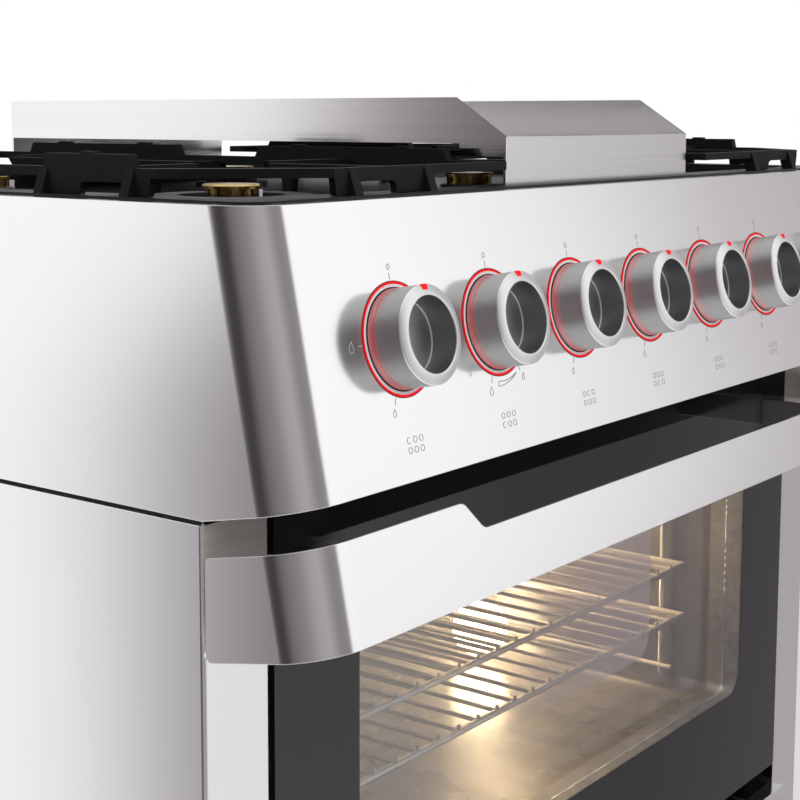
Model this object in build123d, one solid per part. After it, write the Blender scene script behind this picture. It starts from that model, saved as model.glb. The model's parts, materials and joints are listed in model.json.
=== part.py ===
from build123d import *
import math
import os

# Free-standing dual-fuel range cooker: leaning wrap-round fascia, glass oven door with a wrap-round
# handle band, six burners, griddle and storage drawer. Millimetres, +Z up, the origin on the floor
# under the middle of the cooker, the front towards -Y.

# Overall sizes
WIDTH = 900.0
TOP_Z = 900.0
LEG_H = 125.0
SHEET = 2.0
ENAMEL = 1.5

# Clearances: free gap between pieces, running fit on a radius
FIT = 0.3
RUN_FIT = 0.05

# Leaning fascia, measured down its slope from the hob's top edge
LEAN = 11.6
FASCIA_SLOPE = 176.0
KNOB_DROP = 88.0
CORNER_R = 36.0
RIM_VISIBLE = 14.0
RIM_LAP = 10.0

# Handle band under the fascia, in line with its slope
BAND_GAP = 22.0
BAND_H = 63.4
BAND_T = 4.0
BAND_END_GAP = 2.0
NOTCH_DEPTH = 20.2
NOTCH_END = 173.0
NOTCH_FLARE = 19.0
NOTCH_R = 10.0
BAND_END_R = 4.0
BRACKET_INSET = 105.0
BRACKET_W = 24.0
BRACKET_H = 26.0

# Side panels with their folded front columns
COLUMN_BACK = 42.3
COLUMN_W = 58.0
COLUMN_R = 2.5
SIDE_GAP = 3.0
REAR_FOLD = 22.0
UPSTAND = 25.0

# Controls
KNOB_COUNT = 6
KNOB_INSET = 115.0
SELECTOR_GAP = 140.0
KNOB_R = 31.4
KNOB_H = 26.7
KNOB_LIFT = 3.8
KNOB_PUSH = 3.2
KNOB_CUP_R = 24.0
KNOB_CUP_FLOOR = 9.0
KNOB_EDGE = 2.2
KNOB_WALL = 3.4
HUB_R = 7.0
HUB_BACK = 8.0
SPINDLE_R = 4.0
SPINDLE_FLAT = 2.6
SPINDLE_HOLE_R = 9.0
RING_R = 36.1
RING_W = 3.0
RING_T = 0.8
TAP_SIDE = 26.0
TAP_FRONT = 14.0
TAP_LENGTH = 46.0
TAP_NOZZLE = 12.0
SPINDLE_DEPTH = 52.0
MANIFOLD_R = 9.0
MANIFOLD_DEPTH = 38.0
SELECTOR_R = 20.0

# Hob
PAN_LEDGE = 30.0
PAN_DEPTH = 15.5
BURNER_FRONT = 160.0
BURNER_REAR = 168.0
CROWN_R = 19.0
CROWN_H = 7.0
CROWN_SLOTS = 14
CAP_T = 3.0
BURNER_STEM = 8.0
CUP_DEPTH = 34.0
ELECTRODE_R = 2.2
DUAL_RING_R = 56.0
DUAL_RING_W = 16.0
DUAL_CAP_T = 2.5
PIPE_R = 3.5
PIPE_WALL = 1.0
PIPE_BEND = 12.0
PIPE_RUN = 30.0
PIPE_STEP = 9.0
SUPPLY_INSET = 42.0

# Pan supports and griddle
GRIDDLE_W = 283.0
GRIDDLE_SETBACK = 31.0
GRIDDLE_LEG = 34.0
GRIDDLE_WALL = 31.0
GRIDDLE_SLANT = 45.0
GRIDDLE_PLATE = 3.0
GUTTER_W = 38.0
GUTTER_DEPTH = 9.0
SUPPORT_INSET = 20.0
SUPPORT_GAP = 16.0
SUPPORT_H = 26.0
SUPPORT_BAR = 8.0
RAIL_TOP = 19.0
RAIL_H = 6.0
POST_SPREAD = 40.0
POST_W = 8.0
POST_FLARE = 2.0
RIB_OUT = 6.0
SKIRT_T = 5.0
SKIRT_END = 14.0
ARCH_W = 42.0
ARCH_H = 8.5
ARCH_R = 5.0
GUARD_HALF = 42.0
GUARD_LEAN = 3.0
NUB_W = 13.0
NUB_H = 1.5
NUB_SPREAD = 50.0
WALL_HALF = 96.6
ARM_REACH = 36.0
ARM_NOSE = 5.0
CROSS_DROP = 4.0
CORNER_CUT = 78.0

# Door, hinge and glass
GLASS_PROUD = 2.0
GLASS_T = 4.0
DOOR_T = 46.0
DOOR_GAP = 4.0
DOOR_TOP_GAP = 3.6
DOOR_BOTTOM = 288.0
DOOR_RIM = 2.0
WINDOW_INSET = 151.0
WINDOW_RISE = 103.0
WINDOW_DROP = 16.0
FRAME_LAP = 8.0
HINGE_RISE = 17.0
HINGE_BACK = 26.0
HINGE_R = 5.0
HINGE_DEPTH = 20.0
HINGE_FLANGE = 10.0
GASKET = 3.0

# Oven
CAVITY_INSET = 130.0
CAVITY_RISE = 77.0
CAVITY_DROP = 18.0
CAVITY_DEPTH = 440.0
REAR_SPACE = 68.4
CAVITY_R = 18.0
FLANGE = 12.0
WOOL = 25.0
ELEMENT_R = 3.5
RING_BACK = 17.0
RING_CLEAR = 22.0
RING_LEGS = 14.0
GRILL_DROP = 12.0
GRILL_TAIL = 40.0
GRILL_LOOP = 100.0
GRILL_BEND = 24.0
ELEMENT_INSET = 60.0
BASE_BEND = 40.0
BAFFLE_GAP = 40.0
BAFFLE_HALF = 250.0
BAFFLE_SLOT_W = 12.0
BAFFLE_SLOT_H = 46.0
INTAKE_R = 7.0
INTAKE_STEP = 24.0
FAN_R = 70.0
FAN_BLADES = 12
FAN_BACK = 6.0
FAN_DEPTH = 20.0
SHAFT_R = 4.0
MOTOR_R = 34.0
MOTOR_FLANGE = 6.0
MOTOR_CLEAR = 16.0
MOTOR_L = 55.0
LAMP_R = 22.0
LAMP_LIP = 4.0
LAMP_DOME = 10.0
LAMP_BACK = 221.0
LAMP_DROP = 110.0
GUIDE_FIRST = 35.0
GUIDE_PITCH = 52.0
GUIDE_END = 15.0
GUIDE_SETBACK = 50.0
RACK_FRONT = 23.0
RACK_REAR = 15.0
RACK_STEP = 1.0
RACK_ROD = 3.0
RACK_WIRE = 2.0
RACK_WIRES = 21
GUIDE_ROD = 2.5
GUIDE_OUT = 2.0
WELD = 0.6
RACK_SIDE_GAP = 10.5

# Storage drawer
DRAWER_RISE = 15.0
DRAWER_H = 128.0
DRAWER_LIP = 12.0
DRAWER_BOX_INSET = 90.0
DRAWER_BOX_H = 110.0
DRAWER_LENGTH = 490.0
SLIDE_H = 8.0
SLIDE_W = 12.0
SLIDE_RISE = 45.0

# Feet and services
FOOT_R = 22.0
FOOT_INSET = 50.0
FOOT_PAD = 9.0
INLET_R = 10.5
GLAND_R = 10.0
TERMINAL_HALF = 45.0
TERMINAL_H = 60.0
VENT_W = 140.0
VENT_H = 7.0
VENT_ROWS = 8

# Worked out from the sizes above
SIN = math.sin(math.radians(LEAN))
COS = math.cos(math.radians(LEAN))
TAN = SIN / COS
ARC_MID = 1 - math.sqrt(0.5)
HALF = WIDTH / 2
HOB_DEPTH = COLUMN_BACK - GLASS_PROUD + DOOR_T + FIT + GASKET + SHEET + CAVITY_DEPTH + REAR_SPACE
BAND_TOP = FASCIA_SLOPE + BAND_GAP
BAND_BOTTOM = BAND_TOP + BAND_H
Y_REAR = (HOB_DEPTH + BAND_BOTTOM * SIN) / 2
Y_TOP = Y_REAR - HOB_DEPTH
Y_MID = (Y_TOP + Y_REAR) / 2
Y_KNOB = Y_TOP - KNOB_DROP * SIN
Z_KNOB = TOP_Z - KNOB_DROP * COS
Y_COLUMN = Y_TOP + COLUMN_BACK
Y_GLASS = Y_COLUMN - GLASS_PROUD
Y_DOOR_BACK = Y_GLASS + DOOR_T
Y_FRAME = Y_DOOR_BACK + FIT + GASKET
Y_FASCIA_FOOT = Y_TOP - FASCIA_SLOPE * SIN
Z_FASCIA_FOOT = TOP_Z - FASCIA_SLOPE * COS
Z_WING = Z_FASCIA_FOOT - (Y_COLUMN - Y_FASCIA_FOOT) * TAN
Z_PANEL_TOP = Z_WING - SIDE_GAP
Z_FLOOR = LEG_H + SHEET
DOOR_TOP = Z_WING - DOOR_TOP_GAP
DOOR_HALF = HALF - COLUMN_W - DOOR_GAP
Y_HINGE = Y_GLASS + HINGE_BACK
Z_HINGE = DOOR_BOTTOM + HINGE_RISE
CAVITY_HALF = HALF - CAVITY_INSET
CAVITY_FLOOR = DOOR_BOTTOM + CAVITY_RISE
CAVITY_TOP = DOOR_TOP - CAVITY_DROP
Y_LINER = Y_FRAME + SHEET
Y_OVEN_BACK = Y_LINER + CAVITY_DEPTH
Y_BAFFLE = Y_OVEN_BACK - BAFFLE_GAP
Z_OVEN_MID = (CAVITY_FLOOR + CAVITY_TOP) / 2
Z_LAMP = CAVITY_TOP - LAMP_DROP
GUIDE_COUNT = int((CAVITY_TOP - CAVITY_FLOOR - GUIDE_FIRST) / GUIDE_PITCH)
GUIDE_LEVELS = [GUIDE_FIRST + GUIDE_PITCH * i for i in range(GUIDE_COUNT)]
RACK_LEVELS = GUIDE_LEVELS[1:3]
Z_WOOL = CAVITY_FLOOR - ENAMEL - FIT - 2 * ELEMENT_R - FIT - WOOL
Z_DECK = Z_WOOL - SHEET
PAN_TOP = TOP_Z + ENAMEL
PAN_FLOOR = PAN_TOP - PAN_DEPTH
BURNER_ROWS = (Y_TOP + BURNER_FRONT, Y_REAR - BURNER_REAR)
SUPPORT_HALF = (HALF - SUPPORT_INSET - GRIDDLE_W / 2 - SUPPORT_GAP) / 2
COLUMN_X = HALF - SUPPORT_INSET - SUPPORT_HALF
BURNER_COLUMNS = (-COLUMN_X, 0.0, COLUMN_X)
KNOB_PITCH = (WIDTH - 2 * KNOB_INSET - SELECTOR_GAP) / (KNOB_COUNT - 1)
KNOB_XS = [KNOB_INSET - HALF + KNOB_PITCH * i for i in range(KNOB_COUNT)] + [HALF - KNOB_INSET]
MANIFOLD_DROP = TAP_SIDE / 2 + MANIFOLD_R - 4.0
DUAL = 1
PLINTH_R = CROWN_R + 5.0
CUP_FLANGE_R = CROWN_R + 15.0
ELECTRODE_OFF = CROWN_R + 10.0
Z_CROWN = PAN_FLOOR + BURNER_STEM
Z_CUP = PAN_FLOOR - CUP_DEPTH
DRAWER_BOTTOM = LEG_H + DRAWER_RISE
DRAWER_TOP = DRAWER_BOTTOM + DRAWER_H
DRAWER_BOX_HALF = HALF - DRAWER_BOX_INSET
BOX_BOTTOM = DRAWER_BOTTOM + 2 * SHEET
SLIDE_Z = BOX_BOTTOM + SLIDE_RISE


def block(x0, x1, y0, y1, z0, z1):
    """Box between two corners."""
    return Pos((x0 + x1) / 2, (y0 + y1) / 2, (z0 + z1) / 2) * Box(x1 - x0, y1 - y0, z1 - z0)


def prism_x(points, x0, x1):
    """Outline of (y, z) points carried along X."""
    face = make_face(Polyline(*[(x0, y, z) for y, z in points], close=True))
    return extrude(face, amount=x1 - x0, dir=(1, 0, 0))


def prism_y(points, y0, y1):
    """Outline of (x, z) points carried along Y."""
    face = make_face(Polyline(*[(x, y0, z) for x, z in points], close=True))
    return extrude(face, amount=y1 - y0, dir=(0, 1, 0))


def prism_z(points, z0, z1):
    """Outline of (x, y) points carried along Z."""
    face = make_face(Polyline(*[(x, y, z0) for x, y in points], close=True))
    return extrude(face, amount=z1 - z0, dir=(0, 0, 1))


def rod(start, end, radius):
    """Round bar between two points."""
    along = Vector(*end) - Vector(*start)
    bar = Cylinder(radius, along.length, align=(Align.CENTER, Align.CENTER, Align.MIN))
    return Plane(origin=start, z_dir=along) * bar


def tube(points, radius, bend):
    """Round bar bent along straight runs with rounded corners."""
    path = FilletPolyline(*points, radius=bend)
    section = Plane(origin=path @ 0, z_dir=path % 0) * Circle(radius)
    return sweep(section, path=path)


def mirrored(shape):
    """The same piece on the other side of the cooker."""
    return mirror(shape, about=Plane.YZ)


def hob_slab(inset, z0, z1, radius):
    """Rounded slab set in from the hob's outline."""
    plan = Pos(0, Y_MID, z0) * RectangleRounded(WIDTH - 2 * inset, HOB_DEPTH - 2 * inset, radius)
    return extrude(plan, amount=z1 - z0)


def upright_slab(half, z0, z1, y0, y1, radius):
    """Rounded slab that stands across the cooker, between two depths."""
    face = Plane(origin=(0, y0, (z0 + z1) / 2), x_dir=(1, 0, 0), z_dir=(0, 1, 0))
    return extrude(face * RectangleRounded(2 * half, z1 - z0, radius), amount=y1 - y0)


def control_plane(x):
    """Frame of one control on the leaning fascia: local Z points out of it, local Y up its slope."""
    return Plane(origin=(x, Y_KNOB, Z_KNOB), x_dir=(1, 0, 0), z_dir=(0, -COS, SIN))


def wrap(inset, length):
    """Hob outline with rounded front corners, carried down along the fascia's slope."""
    front = Y_TOP + inset / COS
    rear = Y_REAR + length * SIN
    plan = Pos(0, (front + rear) / 2, TOP_Z) * Rectangle(WIDTH - 2 * inset, rear - front)
    plan = fillet(plan.vertices().group_by(Axis.Y)[0], CORNER_R - inset)
    return extrude(plan, amount=length, dir=(0, -SIN, -COS))


def slope_cut(distance, lead):
    """Point on a line square to the slope, at a distance down it, a lead in front of the face."""
    return Y_TOP - distance * SIN - lead * COS, TOP_Z - distance * COS + lead * SIN


def control_fascia():
    """One folded sheet: leaning front, rounded corners, side wings, underside return and hob rim."""
    lead = 2 * CORNER_R
    y_lead, z_lead = slope_cut(FASCIA_SLOPE, lead)
    length = (TOP_Z - Z_WING) / COS + lead
    outside = [(Y_REAR, Z_WING), (Y_COLUMN, Z_WING), (y_lead, z_lead), (y_lead, TOP_Z), (Y_REAR, TOP_Z)]
    thick = SHEET / COS
    y_open = Y_REAR + lead
    inside = [
        (y_open, Z_WING - lead),
        (Y_COLUMN, Z_WING - lead),
        (Y_COLUMN, Z_WING + thick),
        (y_lead, z_lead + thick),
        (y_lead, TOP_Z - SHEET),
        (y_open, TOP_Z - SHEET),
    ]
    sheet = wrap(0, length) & prism_x(outside, -HALF - lead, HALF + lead)
    hollow = wrap(SHEET, length) & prism_x(inside, -HALF - lead, HALF + lead)
    sheet -= hollow
    sheet -= hob_slab(RIM_VISIBLE + RIM_LAP, TOP_Z - 2 * SHEET, TOP_Z + SHEET, CORNER_R / 2)
    for x in KNOB_XS:
        sheet -= control_plane(x) * Cylinder(SPINDLE_HOLE_R, 6 * SHEET)
    return sheet


def side_panel():
    """Right side: skin, folded front column, jamb, rear fold and the upstand behind the fascia's wing."""
    inner = HALF - COLUMN_W
    skin = HALF - SHEET
    outline = [
        (HALF, Y_COLUMN),
        (HALF, Y_REAR),
        (HALF - REAR_FOLD, Y_REAR),
        (HALF - REAR_FOLD, Y_REAR - SHEET),
        (skin, Y_REAR - SHEET),
        (skin, Y_COLUMN + SHEET),
        (inner + SHEET, Y_COLUMN + SHEET),
        (inner + SHEET, Y_FRAME),
        (inner, Y_FRAME),
        (inner, Y_COLUMN),
    ]
    panel = prism_z(outline, Z_FLOOR, Z_PANEL_TOP)
    corner = panel.edges().filter_by(Axis.Z).sort_by_distance((HALF, Y_COLUMN, TOP_Z / 2))[0]
    panel = fillet(corner, COLUMN_R)
    back = Y_REAR - 3 * SHEET
    front = Y_COLUMN + SHEET
    upstand = skin - FIT
    panel += block(upstand - SHEET, skin, front, back, Z_PANEL_TOP - SHEET, Z_PANEL_TOP)
    panel += block(upstand - SHEET, upstand, front, back, Z_PANEL_TOP, Z_PANEL_TOP + UPSTAND)
    return panel


def inlet_place():
    """Depth and height of the gas manifold's centre line."""
    y = Y_KNOB - MANIFOLD_DROP * SIN + MANIFOLD_DEPTH * COS
    z = Z_KNOB - MANIFOLD_DROP * COS - MANIFOLD_DEPTH * SIN
    return y, z


def back_panel():
    """Rear sheet with two fields of vent slots, the gas inlet's hole and the cable gland's hole."""
    half = HALF - SHEET - FIT
    panel = block(-half, half, Y_REAR - 2 * SHEET, Y_REAR - SHEET, Z_FLOOR, TOP_Z - SHEET)
    slot = Box(VENT_W, 6 * SHEET, VENT_H)
    for x in (-HALF / 2, HALF / 2):
        for row in range(VENT_ROWS):
            panel -= Pos(x, Y_REAR - SHEET, Z_WING + UPSTAND + VENT_H * (2 * row + 2)) * slot
    _, z = inlet_place()
    bore = Rot(90, 0, 0) * Cylinder(2 * INLET_R, 6 * SHEET)
    panel -= Pos(SUPPLY_INSET - HALF, Y_REAR - SHEET, z) * bore
    gland = Rot(90, 0, 0) * Cylinder(GLAND_R, 6 * SHEET)
    panel -= Pos(HALF - 2 * FOOT_INSET, Y_REAR - SHEET, z) * gland
    return panel


def base_tray():
    """Floor of the cooker with a low upturned edge."""
    tray = block(-HALF, HALF, Y_COLUMN, Y_REAR, LEG_H, Z_FLOOR)
    half = HALF - SHEET - FIT
    front = Y_FRAME + SHEET
    back = Y_REAR - 2 * SHEET - FIT
    top = Z_FLOOR + DRAWER_RISE - 2 * SHEET
    edge = block(-half, half, front, back, Z_FLOOR, top)
    edge -= block(-half + SHEET, half - SHEET, front + SHEET, back - SHEET, Z_FLOOR, top)
    return tray + edge


def feet():
    """Four adjustable feet: pad, screw and sleeve, each turned in one piece."""
    profile = [
        (0, 0),
        (FOOT_R - SHEET, 0),
        (FOOT_R, SHEET),
        (FOOT_R, FOOT_PAD),
        (FOOT_R / 2, 1.5 * FOOT_PAD),
        (FOOT_R / 2, 3 * FOOT_PAD),
        (FOOT_R, 3 * FOOT_PAD),
        (FOOT_R, LEG_H),
        (0, LEG_H),
    ]
    face = make_face(Polyline(*[(r, 0, z) for r, z in profile], close=True))
    foot = revolve(face, axis=Axis.Z)
    places = [(x, y) for x in (-HALF + FOOT_INSET, HALF - FOOT_INSET)
              for y in (Y_COLUMN + FOOT_INSET, Y_REAR - FOOT_INSET)]
    return Compound([Pos(x, y, 0) * foot for x, y in places])


def burners():
    """Burner centres in the order of their knobs: rear then front in each column."""
    front, rear = BURNER_ROWS
    return [(x, y) for x in BURNER_COLUMNS for y in (rear, front)]


def hob_pan():
    """Pressed enamel pan: flat ledge on the hob rim, one shallow well, a hole under each burner."""
    well = RIM_VISIBLE + PAN_LEDGE
    pan = hob_slab(RIM_VISIBLE, TOP_Z, PAN_TOP, CORNER_R / 2)
    pan += hob_slab(well, PAN_FLOOR - ENAMEL, PAN_TOP, CORNER_R / 2)
    pan -= hob_slab(well + ENAMEL, PAN_FLOOR, PAN_TOP + ENAMEL, CORNER_R / 2 - ENAMEL)
    for index, (x, y) in enumerate(burners()):
        radius = DUAL_RING_R if index == DUAL else PLINTH_R
        pan -= Pos(x, y, PAN_FLOOR) * Cylinder(radius + FIT, 6 * ENAMEL)
        pan -= Pos(x + ELECTRODE_OFF, y, PAN_FLOOR) * Cylinder(ELECTRODE_R + FIT, 6 * ENAMEL)
    return pan


def burner_cups():
    """Cast gas cups that hang through the pan, each with a flange on it and a plinth for its crown."""
    cups = []
    low = (Align.CENTER, Align.CENTER, Align.MIN)
    for index, (x, y) in enumerate(burners()):
        body = DUAL_RING_R if index == DUAL else PLINTH_R
        flange = body + CUP_FLANGE_R - PLINTH_R
        cup = Pos(0, 0, Z_CUP) * Cylinder(body, CUP_DEPTH, align=low)
        cup += Pos(0, 0, PAN_FLOOR) * Cylinder(flange, BURNER_STEM / 2, align=low)
        cup += Pos(0, 0, PAN_FLOOR) * Cylinder(PLINTH_R, BURNER_STEM, align=low)
        cup -= Pos(0, 0, PAN_FLOOR) * Cylinder(CROWN_R / 2, 2 * BURNER_STEM + CUP_DEPTH, align=low)
        cup -= Pos(ELECTRODE_OFF, 0, PAN_FLOOR) * Cylinder(ELECTRODE_R + RUN_FIT, 4 * CUP_DEPTH)
        cups.append(Pos(x, y, 0) * cup)
    return Compound(cups)


def slotted_ring(outer, inner, height, slots):
    """Ring with flame slots cut through its upper part."""
    low = (Align.CENTER, Align.CENTER, Align.MIN)
    ring = Cylinder(outer, height, align=low) - Cylinder(inner, height, align=low)
    cut = Pos((outer + inner) / 2, 0, 2.0) * Box(2 * (outer - inner), 2.4, height, align=low)
    for index in range(slots):
        ring -= Rot(0, 0, 360 / slots * (index + 0.5)) * cut
    return ring


def burner_crowns():
    """Brass flame crowns, and the wide outer crown of the dual burner."""
    crown = slotted_ring(CROWN_R, CROWN_R / 2, CROWN_H, CROWN_SLOTS)
    crowns = [Pos(x, y, Z_CROWN) * crown for x, y in burners()]
    x, y = burners()[DUAL]
    outer = slotted_ring(DUAL_RING_R, DUAL_RING_R - DUAL_RING_W, BURNER_STEM / 2, 3 * CROWN_SLOTS)
    crowns.append(Pos(x, y, PAN_FLOOR + BURNER_STEM / 2) * outer)
    return Compound(crowns)


def burner_caps():
    """Loose caps on the crowns, and the ring cap of the dual burner's outer crown."""
    low = (Align.CENTER, Align.CENTER, Align.MIN)
    cap = Cylinder(CROWN_R + 2.0, CAP_T, align=low)
    cap = chamfer(cap.edges().sort_by(Axis.Z)[-1], CAP_T / 3)
    caps = [Pos(x, y, Z_CROWN + CROWN_H) * cap for x, y in burners()]
    x, y = burners()[DUAL]
    ring = Cylinder(DUAL_RING_R + 2.0, DUAL_CAP_T, align=low)
    ring -= Cylinder(DUAL_RING_R - DUAL_RING_W - 2.0, DUAL_CAP_T, align=low)
    caps.append(Pos(x, y, PAN_FLOOR + BURNER_STEM) * ring)
    return Compound(caps)


def ignition_electrodes():
    """Ceramic spark pins beside the crowns, through the cups."""
    pins = []
    for x, y in burners():
        start = (x + ELECTRODE_OFF, y, PAN_FLOOR - CUP_DEPTH / 2)
        pins.append(rod(start, (x + ELECTRODE_OFF, y, Z_CROWN + CROWN_H - 2), ELECTRODE_R))
    return Compound(pins)


def light_rings():
    """Thin translucent rings that lie on the fascia round the knobs."""
    low = (Align.CENTER, Align.CENTER, Align.MIN)
    ring = Cylinder(RING_R, RING_T, align=low) - Cylinder(RING_R - RING_W, RING_T, align=low)
    return Compound([control_plane(x) * ring for x in KNOB_XS])


def knob(x):
    """Hollow-fronted turned knob: skirt, deep cup, chamfered front ring and a hub with a flat bore."""
    floor = KNOB_CUP_FLOOR
    under = floor - KNOB_WALL - 1.0
    profile = [
        (0, -HUB_BACK),
        (HUB_R, -HUB_BACK),
        (HUB_R, under),
        (KNOB_R - KNOB_WALL, under),
        (KNOB_R - KNOB_WALL, KNOB_LIFT),
        (KNOB_R, KNOB_LIFT),
        (KNOB_R, KNOB_H - KNOB_EDGE),
        (KNOB_R - KNOB_EDGE, KNOB_H),
        (KNOB_CUP_R, KNOB_H),
        (KNOB_CUP_R, floor),
        (0, floor),
    ]
    face = make_face(Polyline(*[(r, 0, z) for r, z in profile], close=True))
    body = revolve(face, axis=Axis.Z)
    body -= flat_bar(SPINDLE_R + RUN_FIT, SPINDLE_FLAT + RUN_FIT, -HUB_BACK, floor - 2.0)
    return control_plane(x) * body


def flat_bar(radius, flat, z0, z1):
    """Round bar with one flat side."""
    bar = Pos(0, 0, z0) * Cylinder(radius, z1 - z0, align=(Align.CENTER, Align.CENTER, Align.MIN))
    return bar - block(-2 * radius, 2 * radius, flat, 2 * radius, z0, z1)


def spindle(x):
    """Control spindle: round in its tap, flat-sided in the knob, short by the knob's push."""
    end = KNOB_CUP_FLOOR - 2.0 - KNOB_PUSH - FIT
    shoulder = HUB_BACK + KNOB_PUSH + FIT
    bar = flat_bar(SPINDLE_R, SPINDLE_FLAT, -shoulder, end)
    bar += rod((0, 0, -SPINDLE_DEPTH), (0, 0, -shoulder), SPINDLE_R)
    return control_plane(x) * bar


def gas_taps():
    """Brass taps behind the burner knobs, saddled on the manifold, each with an outlet nozzle."""
    taps = []
    back = TAP_FRONT + TAP_LENGTH
    side = TAP_SIDE / 2
    for x in KNOB_XS[:KNOB_COUNT]:
        body = block(-side, side, -side, side, -back, -TAP_FRONT)
        body += block(-side, side, -MANIFOLD_DROP, side, -back, -2 * TAP_FRONT)
        body += rod((0, 0, -back - TAP_NOZZLE), (0, 0, -back), PIPE_R + 1.5)
        body -= rod((0, 0, -SPINDLE_DEPTH - FIT), (0, 0, 0), SPINDLE_R + RUN_FIT)
        pipe = rod((-TAP_SIDE, -MANIFOLD_DROP, -MANIFOLD_DEPTH), (TAP_SIDE, -MANIFOLD_DROP, -MANIFOLD_DEPTH),
                   MANIFOLD_R + FIT)
        taps.append(control_plane(x) * (body - pipe))
    return Compound(taps)


def oven_selector():
    """Switch body behind the oven knob, with a bore for its spindle, screwed up to the fascia."""
    body = rod((0, 0, -TAP_FRONT - TAP_LENGTH), (0, 0, -TAP_FRONT), SELECTOR_R)
    collar = rod((0, 0, -TAP_FRONT), (0, 0, -SHEET), SELECTOR_R)
    collar -= rod((0, 0, -TAP_FRONT), (0, 0, 0), SELECTOR_R - SHEET)
    body += collar
    body -= rod((0, 0, -SPINDLE_DEPTH - FIT), (0, 0, 0), SPINDLE_R + RUN_FIT)
    return control_plane(KNOB_XS[-1]) * body


def gas_manifold():
    """Gas rail along the taps."""
    y, z = inlet_place()
    end = KNOB_XS[KNOB_COUNT - 1] + 2 * MANIFOLD_R
    return rod((SUPPLY_INSET - HALF + 3 * MANIFOLD_R, y, z), (end, y, z),
               MANIFOLD_R)


def gas_inlet():
    """Supply pipe from the manifold's left end to the threaded rear inlet."""
    y, z = inlet_place()
    x = SUPPLY_INSET - HALF
    bend = 2 * MANIFOLD_R
    end = Y_REAR - 4 * INLET_R
    pipe = tube([(x + 3 * MANIFOLD_R, y, z), (x, y, z), (x, end, z)], MANIFOLD_R - 1.0, bend)
    pipe += rod((x, end, z), (x, Y_REAR, z), INLET_R)
    nut = extrude(RegularPolygon(1.5 * INLET_R, 6), amount=INLET_R)
    pipe += Pos(x, Y_REAR - 2 * INLET_R, z) * Rot(90, 0, 0) * nut
    return pipe


def riser_x(index):
    """Where a pipe rises into its cup: front and rear pipes of a column keep to opposite sides of it."""
    places = burners()
    offset = PLINTH_R - PIPE_R - PIPE_WALL
    rear = index - index % 2

    def shortest(side):
        ways = ((rear, -side), (rear + 1, side))
        return min(abs(places[i][0] + way * offset - KNOB_XS[i]) for i, way in ways)

    side = max((1, -1), key=shortest)
    return places[index][0] + (side if index % 2 else -side) * offset


def burner_pipes():
    """Thin pipes from the taps to the cups, each at a height of its own."""
    pipes = []
    back = TAP_FRONT + TAP_LENGTH + TAP_NOZZLE
    y0 = Y_KNOB + back * COS
    z0 = Z_KNOB - back * SIN
    for index, (_, y) in enumerate(burners()):
        tap = KNOB_XS[index]
        level = z0 - PIPE_RUN * TAN - PIPE_STEP * (index + 1)
        lane = y0 + PIPE_RUN * COS + 2 * PIPE_BEND + PIPE_STEP * index
        riser = riser_x(index)
        points = [
            (tap, y0, z0),
            (tap, y0 + PIPE_RUN * COS, z0 - PIPE_RUN * SIN),
            (tap, lane, level),
            (riser, lane, level),
            (riser, y, level),
            (riser, y, Z_CUP),
        ]
        pipes.append(tube(points, PIPE_R, PIPE_BEND / 2))
    return Compound(pipes)


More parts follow.
